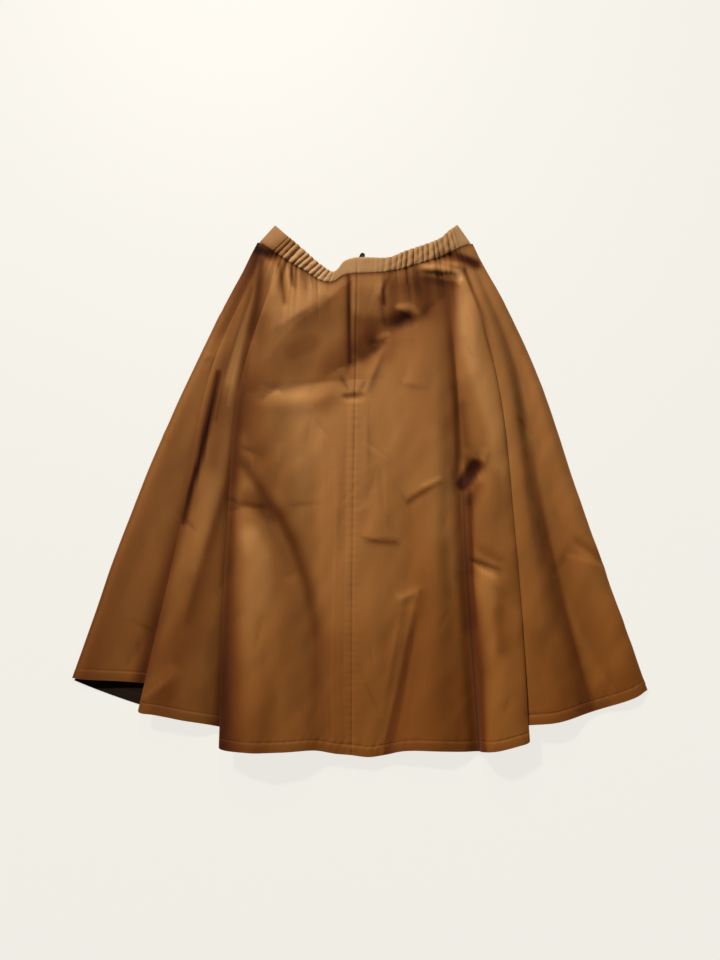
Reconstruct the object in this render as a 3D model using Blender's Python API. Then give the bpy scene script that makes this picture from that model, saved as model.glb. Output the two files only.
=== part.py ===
"""A-line midi skirt laid out flat with its back uppermost. Tables are in millimetres, the scene in metres.

X runs across the skirt, +Y towards the waist, +Z up from the surface that the front panel lies on.
"""

import math
from collections import namedtuple

import bmesh
import bpy
import numpy as np

MM = 0.001

UP = np.array([0.0, 0.0, 1.0])
ACROSS = np.array([[1.0, 0.0, 0.0]])

# Driving sizes
CLOTH = 1.2
BAND_THICKNESS = 3.0
SEAM_GAP = 0.4
LAYER_GAP = 0.3
EDGE_ROUNDING = 1.5
TURN_EASE = 2.3
TURN_CROWDING = 0.7
EASE_STEP = 0.5
FINE_STEPS = 16
LOWEST_MIDDLE = CLOTH + LAYER_GAP + CLOTH / 2
ZIP_LENGTH = 200.0
TAPE_WIDTH = 24.0
TAPE_THICKNESS = 0.8
TAPE_COLUMNS = 7
TAPE_SLACK = 3.0
TAPE_INSET = 1.5
BAND_SHADOW = 0.01
BAND_GATHER_PITCH = 8.5
BAND_GATHER_RISE = 1.2
SCALLOP_SHARE = 0.5
PANEL_GATHER_PITCH = 17.0
PANEL_GATHER_RISE = 1.6
PANEL_GATHER_REACH = 0.11
HEM_CENTRE = (6.0, 723.0)
FRONT_HEM_RADIUS = 1088.0
PANEL_ROWS = 24
ROW_CROWDING = 1.25
BAND_ROWS = 5
FRONT_ROWS = 9
FRONT_COLUMNS = 30
ZIP_ROWS = 16

# Where each level of a fold line lies, from the waist seam at 0 to the hem at 1
LEVELS = (0.0, 0.22, 0.6, 1.0)

# A fold line runs down the back from waist to hem. Across the skirt the cloth passes through the lines in
# this order, so a line that lies left of the one before it makes the cloth double back as a lapped fold.
# heights are at waist, hip and hem; steps is the number of mesh columns that lead up to the line.
Line = namedtuple("Line", "name steps waist hip_x knee_x hem heights")
LINES = (
    Line("left edge", 0, (-147, 363), -221, -328, (-420, -275), (4.2, 2.4, 2.4)),
    Line("side panel", 3, (-143, 361), -210, -300, (-372, -278), (5.5, 7.0, 8.0)),
    Line("side tuck", 4, (-139, 358), -194, -238, (-295, -290), (6.5, 5.0, 5.0)),
    Line("side lap", 4, (-134, 355), -206, -258, (-324, -322), (7.5, 15.0, 20.0)),
    Line("lap back", 4, (-130, 352), -190, -234, (-292, -328), (8.0, 14.0, 18.0)),
    Line("lap foot", 3, (-126, 349), -173, -213, (-254, -335), (8.0, 9.0, 9.0)),
    Line("flute tuck", 4, (-120, 345), -147, -177, (-180, -356), (8.0, 6.0, 6.0)),
    Line("flute edge", 4, (-115, 342), -165, -197, (-206, -374), (8.0, 18.0, 28.0)),
    Line("flute top", 4, (-108, 337), -143, -171, (-169, -380), (8.0, 20.0, 34.0)),
    Line("flute shoulder", 3, (-98, 331), -112, -127, (-124, -380), (7.5, 16.0, 27.0)),
    Line("flute foot", 3, (-79, 320), -77, -86, (-82, -379), (7.0, 10.0, 8.0)),
    Line("left centre", 4, (-55, 306), -50, -51, (-51, -382), (7.0, 13.0, 15.0)),
    Line("band kink", 2, (-39, 305), -32, -35, (-36, -384), (7.0, 12.0, 13.0)),
    Line("placket left", 2, (-25, 314), -18, -23, (-25, -385), (7.5, 9.0, 12.0)),
    Line("lap edge", 1, (-14, 316.5), -12, -18, (-18, -385.5), (8.0, 13.0, 12.5)),
    Line("centre back", 1, (-4, 317.5), -6.5, -11, (-12, -386), (8.0, 13.0, 13.0)),
    Line("right centre", 4, (15, 318), 19, 20, (13, -389), (8.0, 12.0, 16.0)),
    Line("drag line", 4, (41, 320), 51, 61, (38, -386), (7.8, 14.0, 8.0)),
    Line("right middle", 4, (64, 325), 77, 88, (64, -380), (7.6, 15.0, 17.0)),
    Line("valley bank", 4, (91, 333), 111, 114, (120, -380), (7.5, 13.0, 15.0)),
    Line("valley lip", 3, (107, 338), 128, 134, (153, -382), (8.0, 11.0, 10.0)),
    Line("valley foot", 3, (120, 342), 143, 153, (174, -382), (8.0, 5.0, 5.0)),
    Line("ridge edge", 4, (126, 345), 139, 161, (178, -380), (8.0, 19.0, 26.0)),
    Line("ridge top", 3, (131, 347), 162, 187, (196, -379), (8.0, 24.0, 33.0)),
    Line("ridge shoulder", 3, (137, 350), 181, 213, (225, -373), (8.0, 20.0, 29.0)),
    Line("step edge", 4, (142, 353), 193, 228, (248, -365), (8.0, 14.0, 20.0)),
    Line("step tuck", 4, (146, 355), 189, 216, (221, -347), (7.0, 7.0, 6.0)),
    Line("inner side", 4, (150, 357), 206, 248, (286, -338), (6.5, 7.0, 7.5)),
    Line("side valley", 3, (154, 358.5), 219, 268, (340, -324), (6.0, 4.5, 4.5)),
    Line("right side", 3, (158, 360), 230, 294, (380, -314), (5.5, 10.0, 10.0)),
    Line("right edge", 3, (162, 361), 238, 326.5, (420, -293), (4.2, 2.4, 2.4)),
)
CENTRE_BACK = [line.name for line in LINES].index("centre back")

# Short folds that cross the lines: from start to end, as a ridge where rise is above 0 and a trough below
Crease = namedtuple("Crease", "name start end rise width")
CREASES = (
    Crease("left waist hollow", (-141, 349), (-118, 338), -4.5, 9),
    Crease("right waist hollow", (105, 327), (150, 344), -4.5, 10),
    Crease("right waist fold", (95, 316), (146, 330), 4.0, 8),
    Crease("left hip shelf", (-143, 148), (-51, 161), 4.0, 16),
    Crease("drag fold", (38, 246), (79, 261), -5.0, 16),
    Crease("zip end pucker", (-23, 137), (3, 137), -3.0, 7),
    Crease("flute head", (-166, 39), (-111, -101), -7.0, 22),
    Crease("side pocket", (172, 45), (152, 4), -9.0, 22),
    Crease("knee fold", (165, -106), (204, -125), -4.0, 9),
)

# Upper edge of the back waistband, with the height of its middle and the share of full gathers there
BandTop = namedtuple("BandTop", "line top height gathers")
BAND_TOPS = (
    BandTop("left edge", (-124, 388), 4.4, 0.0),
    BandTop("lap back", (-107, 373), 8.5, 0.0),
    BandTop("flute tuck", (-99, 366), 9.0, 1.0),
    BandTop("flute shoulder", (-78, 348), 8.0, 1.0),
    BandTop("flute foot", (-62, 334), 7.5, 1.0),
    BandTop("left centre", (-43, 321), 7.0, 0.5),
    BandTop("band kink", (-34, 323), 7.5, 0.0),
    BandTop("placket left", (-24, 335), 7.8, 0.0),
    BandTop("lap edge", (-14, 339), 8.0, 0.0),
    BandTop("centre back", (-4, 341), 8.0, 0.0),
    BandTop("right centre", (15, 341), 8.0, 0.0),
    BandTop("drag line", (42, 341), 7.8, 0.4),
    BandTop("right middle", (66, 350), 7.6, 1.0),
    BandTop("valley bank", (90, 358), 7.5, 1.0),
    BandTop("valley foot", (114, 367), 8.5, 1.0),
    BandTop("ridge shoulder", (129, 379), 9.0, 1.0),
    BandTop("inner side", (137, 385), 7.5, 0.0),
    BandTop("right edge", (142, 389), 4.4, 0.0),
)

# Lower and upper edges of the front waistband, which lies out of sight under the back one
FrontBand = namedtuple("FrontBand", "lower upper")
FRONT_BAND = (
    FrontBand((-146, 361), (-125, 386)),
    FrontBand((-98, 328), (-82, 348)),
    FrontBand((-52, 303), (-42, 317)),
    FrontBand((-8, 301), (-6, 325)),
    FrontBand((34, 304), (33, 330)),
    FrontBand((78, 318), (68, 344)),
    FrontBand((124, 337), (112, 361)),
    FrontBand((161, 359), (141, 387)),
)

# The zip's slider sits behind the waistband at the top of the back seam. Its tab is turned up and to the
# right between the two bands, so that only its tip shows above the upper edge.
SLIDER_PLACE = (-3.0, 333.0)
SLIDER_WIDTH = 8.0
SLIDER_LENGTH = 9.0
SLIDER_FRONT = 5.0
SLIDER_THICKNESS = 0.9
PIN_RADIUS = 0.8
PIN_END = 2.8
PULL_TURN = math.radians(-30)
PULL_LENGTH = 17.0
PULL_WIDTH = 7.5
PULL_NECK_WIDTH = 4.6
PULL_BACK = 3.0
PULL_THICKNESS = 0.8
PULL_HOLE_RADIUS = 1.2
ROUND_CORNERS = 10
LAST_CORNER = 360 - 360 / ROUND_CORNERS
SHARP_ANGLE = 50

SKIRT_COLOUR = (0.33, 0.155, 0.05, 1.0)
BAND_COLOUR = (0.40, 0.20, 0.075, 1.0)
TAPE_COLOUR = (0.20, 0.09, 0.03, 1.0)
METAL_COLOUR = (0.12, 0.09, 0.07, 1.0)


def slopes(knots, points):
    """Tangent at each knot of a smooth curve, from the differences on both sides of it."""
    steps = np.diff(knots)[:, None]
    runs = np.diff(points, axis=0) / steps
    inner = (runs[:-1] * steps[1:] + runs[1:] * steps[:-1]) / (steps[:-1] + steps[1:])
    return np.concatenate([runs[:1], inner, runs[-1:]])


def smooth(knots, points, places):
    """Points at places on the curve that passes through points at knots."""
    knots = np.asarray(knots, float)
    points = np.asarray(points, float)
    tangents = slopes(knots, points)
    index = np.clip(np.searchsorted(knots, places, side="right") - 1, 0, len(knots) - 2)
    span = (knots[index + 1] - knots[index])[:, None]
    f = ((places - knots[index])[:, None]) / span
    start = (1 + 2 * f) * (1 - f) ** 2 * points[index] + f * (1 - f) ** 2 * tangents[index] * span
    end = f**2 * (3 - 2 * f) * points[index + 1] + f**2 * (f - 1) * tangents[index + 1] * span
    return start + end


def knots_through(points):
    """Knots spaced by the square root of each chord, which keeps a curve from looping at close points."""
    chords = np.linalg.norm(np.diff(points, axis=0), axis=1)
    return np.concatenate([[0.0], np.cumsum(np.sqrt(np.maximum(chords, 0.5)))])


def line_points(level):
    """Where every fold line is at a level between waist and hem, as rows of x, y and height."""
    found = []
    for line in LINES:
        waist_height, hip_height, hem_height = line.heights
        across = (line.waist[0], line.hip_x, line.knee_x, line.hem[0])
        heights = (waist_height, hip_height, (hip_height + hem_height) / 2, hem_height)
        at_levels = np.column_stack([across, heights])
        x, z = smooth(LEVELS, at_levels, np.array([level]))[0]
        y = line.waist[1] + (line.hem[1] - line.waist[1]) * level
        found.append((x, y, z))
    return np.array(found)


def turning_lines():
    """For each line, whether the cloth doubles back there at the hip or the hem."""
    turning = np.zeros(len(LINES), bool)
    for across in ([line.hip_x for line in LINES], [line.hem[0] for line in LINES]):
        runs = np.sign(np.diff(across))
        turning[1:-1] |= runs[:-1] != runs[1:]
    return turning


def column_places():
    """Each mesh column as a line's index and a share of the way to the next, closest together at the turns."""
    places = [0.0]
    turning = turning_lines()
    for index, line in enumerate(LINES[1:]):
        shares = np.arange(1, line.steps + 1) / line.steps
        closer = shares
        if turning[index] and turning[index + 1]:
            closer = (1 - np.cos(shares * math.pi)) / 2
        elif turning[index]:
            closer = 1 - np.cos(shares * math.pi / 2)
        elif turning[index + 1]:
            closer = np.sin(shares * math.pi / 2)
        shares = shares + (closer - shares) * TURN_CROWDING
        places += list(index + shares)
    return np.array(places)


def eased(curve, along):
    """A curve with its sharp turns rounded off, by averaging its points over a short length each way."""
    even = np.linspace(0, along[-1], round(along[-1] / EASE_STEP) + 1)
    points = np.column_stack([np.interp(even, along, curve[:, axis]) for axis in range(3)])
    reach = round(3 * TURN_EASE / EASE_STEP)
    before = 2 * points[0] - points[reach:0:-1]
    after = 2 * points[-1] - points[-2 : -reach - 2 : -1]
    padded = np.concatenate([before, points, after])
    weights = np.exp(-0.5 * (np.arange(-reach, reach + 1) * EASE_STEP / TURN_EASE) ** 2)
    weights /= weights.sum()
    return even, np.column_stack([np.convolve(padded[:, axis], weights, "valid") for axis in range(3)])


def across_lines(points, places):
    """Points at places, counted in lines, on the smooth curve through the lines' points."""
    knots = knots_through(points)
    fine = np.linspace(0, len(points) - 1, FINE_STEPS * (len(points) - 1) + 1)
    curve = smooth(knots, points, np.interp(fine, range(len(knots)), knots))
    along = length_along(curve)
    even, curve = eased(curve, along)
    wanted = np.interp(places, fine, along)
    return np.column_stack([np.interp(wanted, even, curve[:, axis]) for axis in range(3)])


def crease_rise(x, y):
    """How far the short folds lift the cloth at points x, y: a rounded ridge along each, fading at its ends."""
    total = np.zeros_like(x)
    for crease in CREASES:
        start, end = np.array(crease.start, float), np.array(crease.end, float)
        way = end - start
        share = ((x - start[0]) * way[0] + (y - start[1]) * way[1]) / (way @ way)
        held = np.clip(share, 0, 1)
        away = np.hypot(x - start[0] - held * way[0], y - start[1] - held * way[1])
        ends = 0.35 + 0.65 * np.sin(math.pi * held)
        total += crease.rise * ends * np.exp(-2 * (away / crease.width) ** 2)
    return total


def gather_wave(along, pitch):
    """Gathers as an uneven wave of the length along the seam, between -1 and 1."""
    phase = 2 * math.pi * along / pitch
    return np.sin(phase + 0.7 * np.sin(phase / 3.7)) * (0.8 + 0.2 * np.sin(phase / 2.3))


def length_along(points):
    """Length from the first point to each point."""
    return np.concatenate([[0.0], np.cumsum(np.linalg.norm(np.diff(points, axis=0), axis=1))])


def resting_above(height, lowest):
    """Height, eased so that it never falls below lowest."""
    return 0.5 * (height + lowest + np.sqrt((height - lowest) ** 2 + EDGE_ROUNDING**2))


def back_grid(levels, places):
    """The middle of the back's cloth, one row a level and one column a place."""
    grid = np.array([across_lines(line_points(level), places) for level in levels])
    x, y, z = grid[..., 0], grid[..., 1], grid[..., 2]
    waist = across_lines(line_points(0.0), places)
    wave = gather_wave(length_along(waist[:, :2]), PANEL_GATHER_PITCH)
    share = np.interp(places, [line_index(b.line) for b in BAND_TOPS], [b.gathers for b in BAND_TOPS])
    fade = np.sin(np.clip(np.array(levels) / PANEL_GATHER_REACH, 0, 1) * math.pi / 2 + math.pi / 2)
    lift = PANEL_GATHER_RISE * (fade**2)[:, None] * (wave * share)[None, :]
    grid[..., 2] = resting_above(z + lift + crease_rise(x, y), LOWEST_MIDDLE)
    return grid


def line_index(name):
    return [line.name for line in LINES].index(name)


def bisectors(grid, axis):
    """Direction of the grid along an axis at each point, halfway between the edges before and after it."""
    edges = np.diff(grid, axis=axis)
    edges = edges / np.linalg.norm(edges, axis=2, keepdims=True)
    first, last = np.take(edges, [0], axis=axis), np.take(edges, [-1], axis=axis)
    return np.concatenate([first, edges], axis=axis) + np.concatenate([edges, last], axis=axis)


def normals_of(grid):
    """Upward unit normals of a grid of points whose rows run down and columns run right."""
    normals = np.cross(bisectors(grid, 0), bisectors(grid, 1))
    return normals / np.linalg.norm(normals, axis=2, keepdims=True)


def upright(normals, across):
    """Turn the normals of a seam's points within the plane of the seam, so that its rim stands upright."""
    across = across / np.linalg.norm(across, axis=1, keepdims=True)
    inside = normals - (normals * across).sum(axis=1, keepdims=True) * across
    return inside / np.linalg.norm(inside, axis=1, keepdims=True)


def split_quads(grid, number):
    """Triangles between the grid's points, with each quad split along its shorter diagonal."""
    a, b, c, d = number[:-1, :-1], number[1:, :-1], number[1:, 1:], number[:-1, 1:]
    falling = np.linalg.norm(grid[:-1, :-1] - grid[1:, 1:], axis=2)
    rising = np.linalg.norm(grid[1:, :-1] - grid[:-1, 1:], axis=2)
    along_falling = (falling <= rising)[..., None]
    first = np.where(along_falling, np.stack([a, b, c], axis=-1), np.stack([a, b, d], axis=-1))
    second = np.where(along_falling, np.stack([a, c, d], axis=-1), np.stack([b, c, d], axis=-1))
    return np.concatenate([first.reshape(-1, 3), second.reshape(-1, 3)])


def wall(name, grid, normals, half_thickness, material):
    """A closed wall on a grid: its points moved out both ways along the normals, joined round the rim."""
    rows, columns = grid.shape[:2]
    reach = normals * np.broadcast_to(half_thickness, (rows, columns))[..., None]
    points = np.concatenate([(grid + reach).reshape(-1, 3), (grid - reach).reshape(-1, 3)]) * MM
    lower = rows * columns
    number = np.arange(lower).reshape(rows, columns)
    top = split_quads(grid, number)
    rim = np.concatenate(
        [number[0, ::-1], number[1:, 0], number[-1, 1:], number[-2:0:-1, -1]]
    )
    nxt = np.roll(rim, -1)
    sides = np.concatenate(
        [np.stack([rim, rim + lower, nxt + lower], axis=-1), np.stack([rim, nxt + lower, nxt], axis=-1)]
    )
    faces = np.concatenate([top, top[:, ::-1] + lower, sides])
    data = bpy.data.meshes.new(name)
    data.from_pydata(points.tolist(), [], faces.tolist())
    return link_object(name, data, material)


def link_object(name, data, material):
    data.materials.append(material)
    data.shade_smooth()
    data.set_sharp_from_angle(angle=math.radians(SHARP_ANGLE))
    obj = bpy.data.objects.new(name, data)
    bpy.context.scene.collection.objects.link(obj)
    return obj


def add_material(name, colour, roughness, metallic=0.0):
    material = bpy.data.materials.new(name)
    material.use_nodes = True
    shader = material.node_tree.nodes["Principled BSDF"]
    shader.inputs["Base Color"].default_value = colour
    shader.inputs["Roughness"].default_value = roughness
    shader.inputs["Metallic"].default_value = metallic
    return material


def panel_levels():
    return [(row / (PANEL_ROWS - 1)) ** ROW_CROWDING for row in range(PANEL_ROWS)]


def back_panels(material):
    """Left and right back, parted at the centre back seam."""
    places = column_places()
    grid = back_grid(panel_levels(), places)
    normals = normals_of(grid)
    middle = int(np.argmin(abs(places - CENTRE_BACK)))
    normals[:, middle] = upright(normals[:, middle], ACROSS)
    normals[0] = UP
    left, right = grid[:, : middle + 1].copy(), grid[:, middle:].copy()
    left[:, -1, 0] -= SEAM_GAP / 2
    right[:, 0, 0] += SEAM_GAP / 2
    wall("back_panel_left", left, normals[:, : middle + 1], CLOTH / 2, material)
    wall("back_panel_right", right, normals[:, middle:], CLOTH / 2, material)


def band_seam(first, last):
    """A waistband's stations: their places, a quarter of a gather apart, and points on the panel's edge."""
    columns = column_places()
    columns = columns[(columns >= first) & (columns <= last)]
    edge = back_grid([0.0], columns)[0]
    lengths = np.linalg.norm(np.diff(edge[:, :2], axis=0), axis=1)
    places = [float(first)]
    for start, end, length in zip(columns, columns[1:], lengths):
        parts = max(1, round(length / (BAND_GATHER_PITCH / 4)))
        places += [start + (end - start) * (part + 1) / parts for part in range(parts)]
    points = [np.interp(places, columns, edge[:, axis]) for axis in range(3)]
    return np.array(places), np.column_stack(points)


def band_grid(first, last):
    """The middle of the back waistband, from its upper edge to its lower edge on the panels' seam."""
    places, lower = band_seam(first, last)
    marks = [line_index(top.line) for top in BAND_TOPS]
    upper = smooth(marks, [[*top.top, top.height] for top in BAND_TOPS], places)
    strength = np.interp(places, marks, [top.gathers for top in BAND_TOPS])
    wave = gather_wave(length_along(lower[:, :2]), BAND_GATHER_PITCH) * strength * BAND_GATHER_RISE
    way = upper[:, :2] - lower[:, :2]
    way = way / np.linalg.norm(way, axis=1, keepdims=True)
    lower[:, :2] += way * SEAM_GAP
    upper[:, :2] += way * wave[:, None] * SCALLOP_SHARE
    shares = np.linspace(0, 1, BAND_ROWS)[:, None, None]
    grid = upper[None] * (1 - shares) + lower[None] * shares
    grid[..., 2] += wave[None] * np.cos(shares[..., 0] * math.pi / 2)
    return grid


def band_halves():
    """Half the band's thickness on each of its rows, thinner at the two pressed edges."""
    shares = np.linspace(-1, 1, BAND_ROWS)
    return (BAND_THICKNESS / 2 * np.sqrt(1 - 0.6 * shares**4))[:, None]


def back_bands(material):
    """Left and right back waistband, parted where the zip runs through to the upper edge."""
    for name, first, last, inner in (
        ("back_band_left", 0, CENTRE_BACK, -1),
        ("back_band_right", CENTRE_BACK, len(LINES) - 1, 0),
    ):
        grid = band_grid(first, last)
        normals = normals_of(grid)
        normals[:, inner] = upright(normals[:, inner], ACROSS)
        normals[-1] = UP
        grid[:, inner, 0] += SEAM_GAP / 2 * (1 if inner == 0 else -1)
        wall(name, grid, normals, band_halves(), material)


def front_edges(count):
    """Lower and upper edge of the front waistband as count points each."""
    places = np.linspace(0, len(FRONT_BAND) - 1, count)
    marks = range(len(FRONT_BAND))
    lower = smooth(marks, [b.lower for b in FRONT_BAND], places)
    upper = smooth(marks, [b.upper for b in FRONT_BAND], places)
    return lower, upper


def flat_wall(name, plan, thickness, material):
    """A wall that lies flat on the floor, from a grid of points in plan."""
    grid = np.concatenate([plan, np.full((*plan.shape[:2], 1), thickness / 2)], axis=2)
    normals = np.broadcast_to(np.array([0.0, 0.0, 1.0]), grid.shape)
    return wall(name, grid, normals, thickness / 2, material)


def front_panel(material):
    """The front, cut in one piece, lying flat from its waistband to the round hem."""
    lower, upper = front_edges(FRONT_COLUMNS + 1)
    way = (lower - upper) / np.linalg.norm(lower - upper, axis=1, keepdims=True)
    waist = lower + way * SEAM_GAP
    edges = [line_points(level)[[0, -1], :2] for level in np.linspace(0, 1, FRONT_ROWS)]
    inset = 1.0
    rows = []
    for row, (left, right) in enumerate(edges):
        share = row / (FRONT_ROWS - 1)
        across = np.linspace(0, 1, FRONT_COLUMNS + 1)
        x = left[0] + inset + (right[0] - left[0] - 2 * inset) * across
        hem_y = HEM_CENTRE[1] - np.sqrt(FRONT_HEM_RADIUS**2 - (x - HEM_CENTRE[0]) ** 2)
        y = waist[:, 1] + (hem_y - waist[:, 1]) * share
        x = waist[:, 0] if row == 0 else x
        rows.append(np.column_stack([x, y]))
    flat_wall("front_panel", np.array(rows), CLOTH, material)


def front_band(material):
    lower, upper = front_edges(FRONT_COLUMNS + 1)
    shares = np.linspace(1, 0, 3)[:, None, None]
    plan = lower[None] * (1 - shares) + upper[None] * shares
    flat_wall("front_band", plan, BAND_THICKNESS - LAYER_GAP - LAYER_GAP, material)


def zip_tape(material):
    """The zip's tape behind the back seam, made from the back's own points and moved in under the cloth."""
    seam = LINES[CENTRE_BACK]
    band_top = BAND_TOPS[[top.line for top in BAND_TOPS].index(seam.name)].top[1]
    band_width = band_top - seam.waist[1]
    last = (ZIP_LENGTH - band_width) / (seam.waist[1] - seam.hem[1])
    offsets = np.linspace(-TAPE_WIDTH / 2, TAPE_WIDTH / 2, TAPE_COLUMNS)
    places = np.linspace(CENTRE_BACK - 4, CENTRE_BACK + 2, 90)
    rows = []
    for level in np.linspace(0.0, last, ZIP_ROWS):
        cloth = back_grid([level], places)[0]
        centre = line_points(level)[CENTRE_BACK]
        x = centre[0] + offsets
        near = [np.interp(x + shift, cloth[:, 0], cloth[:, 2]) for shift in (-TAPE_SLACK, 0, TAPE_SLACK)]
        thicker = (BAND_THICKNESS - CLOTH) / 2 * (level < BAND_SHADOW)
        depth = CLOTH / 2 + SEAM_GAP + TAPE_THICKNESS / 2 + thicker
        rows.append(np.column_stack([x, np.full_like(x, centre[1]), np.min(near, axis=0) - depth]))
    top = rows[0].copy()
    top[:, 1] += band_width - TAPE_INSET
    grid = np.array([top, *rows])
    wall("zip_tape", grid, normals_of(grid), TAPE_THICKNESS / 2, material)


def rounded(centre_x, centre_y, radius, first, last):
    """Points on an arc, with angles in degrees."""
    turns = np.radians(np.linspace(first, last, ROUND_CORNERS))
    return [(centre_x + radius * math.cos(t), centre_y + radius * math.sin(t)) for t in turns]


def placed(points, angle, place):
    """Points of a flat outline, turned and then moved to their place."""
    c, s = math.cos(angle), math.sin(angle)
    return [(place[0] + c * x - s * y, place[1] + s * x + c * y) for x, y in points]


def add_loop(mesh, outline, height):
    """A closed loop of vertices at a height."""
    return [mesh.verts.new((x * MM, y * MM, height * MM)) for x, y in outline]


def add_sides(mesh, lower, upper):
    """Side faces between two loops that run the same way."""
    for i in range(len(lower)):
        mesh.faces.new((lower[i - 1], lower[i], upper[i], upper[i - 1]))


def add_ring(mesh, outer, inner):
    """A flat face between two loops at one height."""
    edges = []
    for loop in (outer, inner):
        for i in range(len(loop)):
            edges.append(mesh.edges.get((loop[i - 1], loop[i])) or mesh.edges.new((loop[i - 1], loop[i])))
    bmesh.ops.triangle_fill(mesh, edges=edges, use_beauty=True)


def finish_metal(name, mesh, material):
    bmesh.ops.recalc_face_normals(mesh, faces=mesh.faces[:])
    data = bpy.data.meshes.new(name)
    mesh.to_mesh(data)
    mesh.free()
    return link_object(name, data, material)


def zip_pull(material):
    """The tab: a drop-shaped plate with a round hole, through which the slider's pin passes."""
    tip = rounded(0, PULL_LENGTH - PULL_WIDTH / 2, PULL_WIDTH / 2, -15, 195)
    neck = rounded(0, 0, PULL_NECK_WIDTH / 2, 180, 360)
    outline = placed(tip + neck, PULL_TURN, SLIDER_PLACE)
    hole = placed(rounded(0, 0, PULL_HOLE_RADIUS, 0, LAST_CORNER), 0.0, SLIDER_PLACE)
    front = PULL_BACK + PULL_THICKNESS
    mesh = bmesh.new()
    outer = [add_loop(mesh, outline, height) for height in (PULL_BACK, front)]
    inner = [add_loop(mesh, hole, height) for height in (PULL_BACK, front)]
    add_sides(mesh, *outer)
    add_sides(mesh, *inner)
    add_ring(mesh, outer[0], inner[0])
    add_ring(mesh, outer[1], inner[1])
    finish_metal("zip_pull", mesh, material)


def zip_slider(material):
    """The slider: a shield-shaped plate under the tape, with a pin on its back that holds the tab."""
    half = SLIDER_WIDTH / 2
    shoulders = rounded(0, SLIDER_LENGTH / 2 - half, half, 0, 180)
    foot = rounded(0, -SLIDER_LENGTH / 2 + half / 2, half / 2, 200, 340)
    outline = placed(shoulders + foot, 0.0, SLIDER_PLACE)
    circle = placed(rounded(0, 0, PIN_RADIUS, 0, LAST_CORNER), 0.0, SLIDER_PLACE)
    back = SLIDER_FRONT - SLIDER_THICKNESS
    mesh = bmesh.new()
    upper = add_loop(mesh, outline, SLIDER_FRONT)
    lower = add_loop(mesh, outline, back)
    root = add_loop(mesh, circle, back)
    end = add_loop(mesh, circle, PIN_END)
    add_sides(mesh, lower, upper)
    add_sides(mesh, end, root)
    add_ring(mesh, lower, root)
    mesh.faces.new(upper)
    mesh.faces.new(end)
    finish_metal("zip_slider", mesh, material)


def main():
    for obj in list(bpy.data.objects):
        bpy.data.objects.remove(obj)
    skirt = add_material("skirt_cloth", SKIRT_COLOUR, 0.55)
    band = add_material("band_cloth", BAND_COLOUR, 0.6)
    tape = add_material("tape_cloth", TAPE_COLOUR, 0.8)
    metal = add_material("zip_metal", METAL_COLOUR, 0.35, 1.0)
    back_panels(skirt)
    back_bands(band)
    front_panel(skirt)
    front_band(band)
    zip_tape(tape)
    zip_slider(metal)
    zip_pull(metal)


main()
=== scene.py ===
"""Looks of an a-line midi skirt that is laid out flat with its back uppermost.

The tables are in millimetres and the scene in metres. X runs across the skirt, +Y towards the waist and +Z
up from the floor. Surfaces are grids of points: rows run down from the waist, columns from left to right.
"""

import functools
import math
from collections import namedtuple

import bpy
import numpy as np
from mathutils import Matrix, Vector


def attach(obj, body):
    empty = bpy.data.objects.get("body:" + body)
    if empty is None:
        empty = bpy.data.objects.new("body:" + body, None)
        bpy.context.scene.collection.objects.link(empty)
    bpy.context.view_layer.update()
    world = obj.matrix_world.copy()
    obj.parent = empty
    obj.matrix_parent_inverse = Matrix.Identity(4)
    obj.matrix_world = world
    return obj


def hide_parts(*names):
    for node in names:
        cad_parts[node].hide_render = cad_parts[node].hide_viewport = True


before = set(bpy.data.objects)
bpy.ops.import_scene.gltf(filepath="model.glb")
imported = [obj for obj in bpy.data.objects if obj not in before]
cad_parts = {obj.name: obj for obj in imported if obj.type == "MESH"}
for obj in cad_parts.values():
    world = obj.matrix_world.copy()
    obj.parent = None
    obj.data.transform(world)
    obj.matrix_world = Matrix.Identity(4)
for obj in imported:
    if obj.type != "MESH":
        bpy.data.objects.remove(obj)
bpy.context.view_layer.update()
MM = 0.001

bl_info = {
    "name": "A-Line Midi Skirt",
    "version": (1, 0, 0),
    "blender": (4, 5, 0),
    "location": "View3D > Sidebar > Skirt",
    "description": "Builds the cloth, waistband, zip and stage of a skirt that is laid out flat",
    "category": "Object",
}

# Driving sizes of the solids, which the cloth here lies on
SOLID_CLOTH = 1.2
SEAM_GAP = 0.4
LAYER_GAP = 0.3
EDGE_ROUNDING = 1.5
TURN_EASE = 2.3
EASE_STEP = 0.5
FINE_STEPS = 16
TURN_CROWDING = 0.7
LOWEST_MIDDLE = SOLID_CLOTH + LAYER_GAP + SOLID_CLOTH / 2
HEM_CENTRE = (6.0, 723.0)
FRONT_HEM_RADIUS = 1088.0
FRONT_INSET = 1.0
ZIP_LENGTH = 200.0
TAPE_WIDTH = 24.0

# Where each level of a fold line lies, from the waist seam at 0 to the hem at 1
LEVELS = (0.0, 0.22, 0.6, 1.0)

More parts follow.
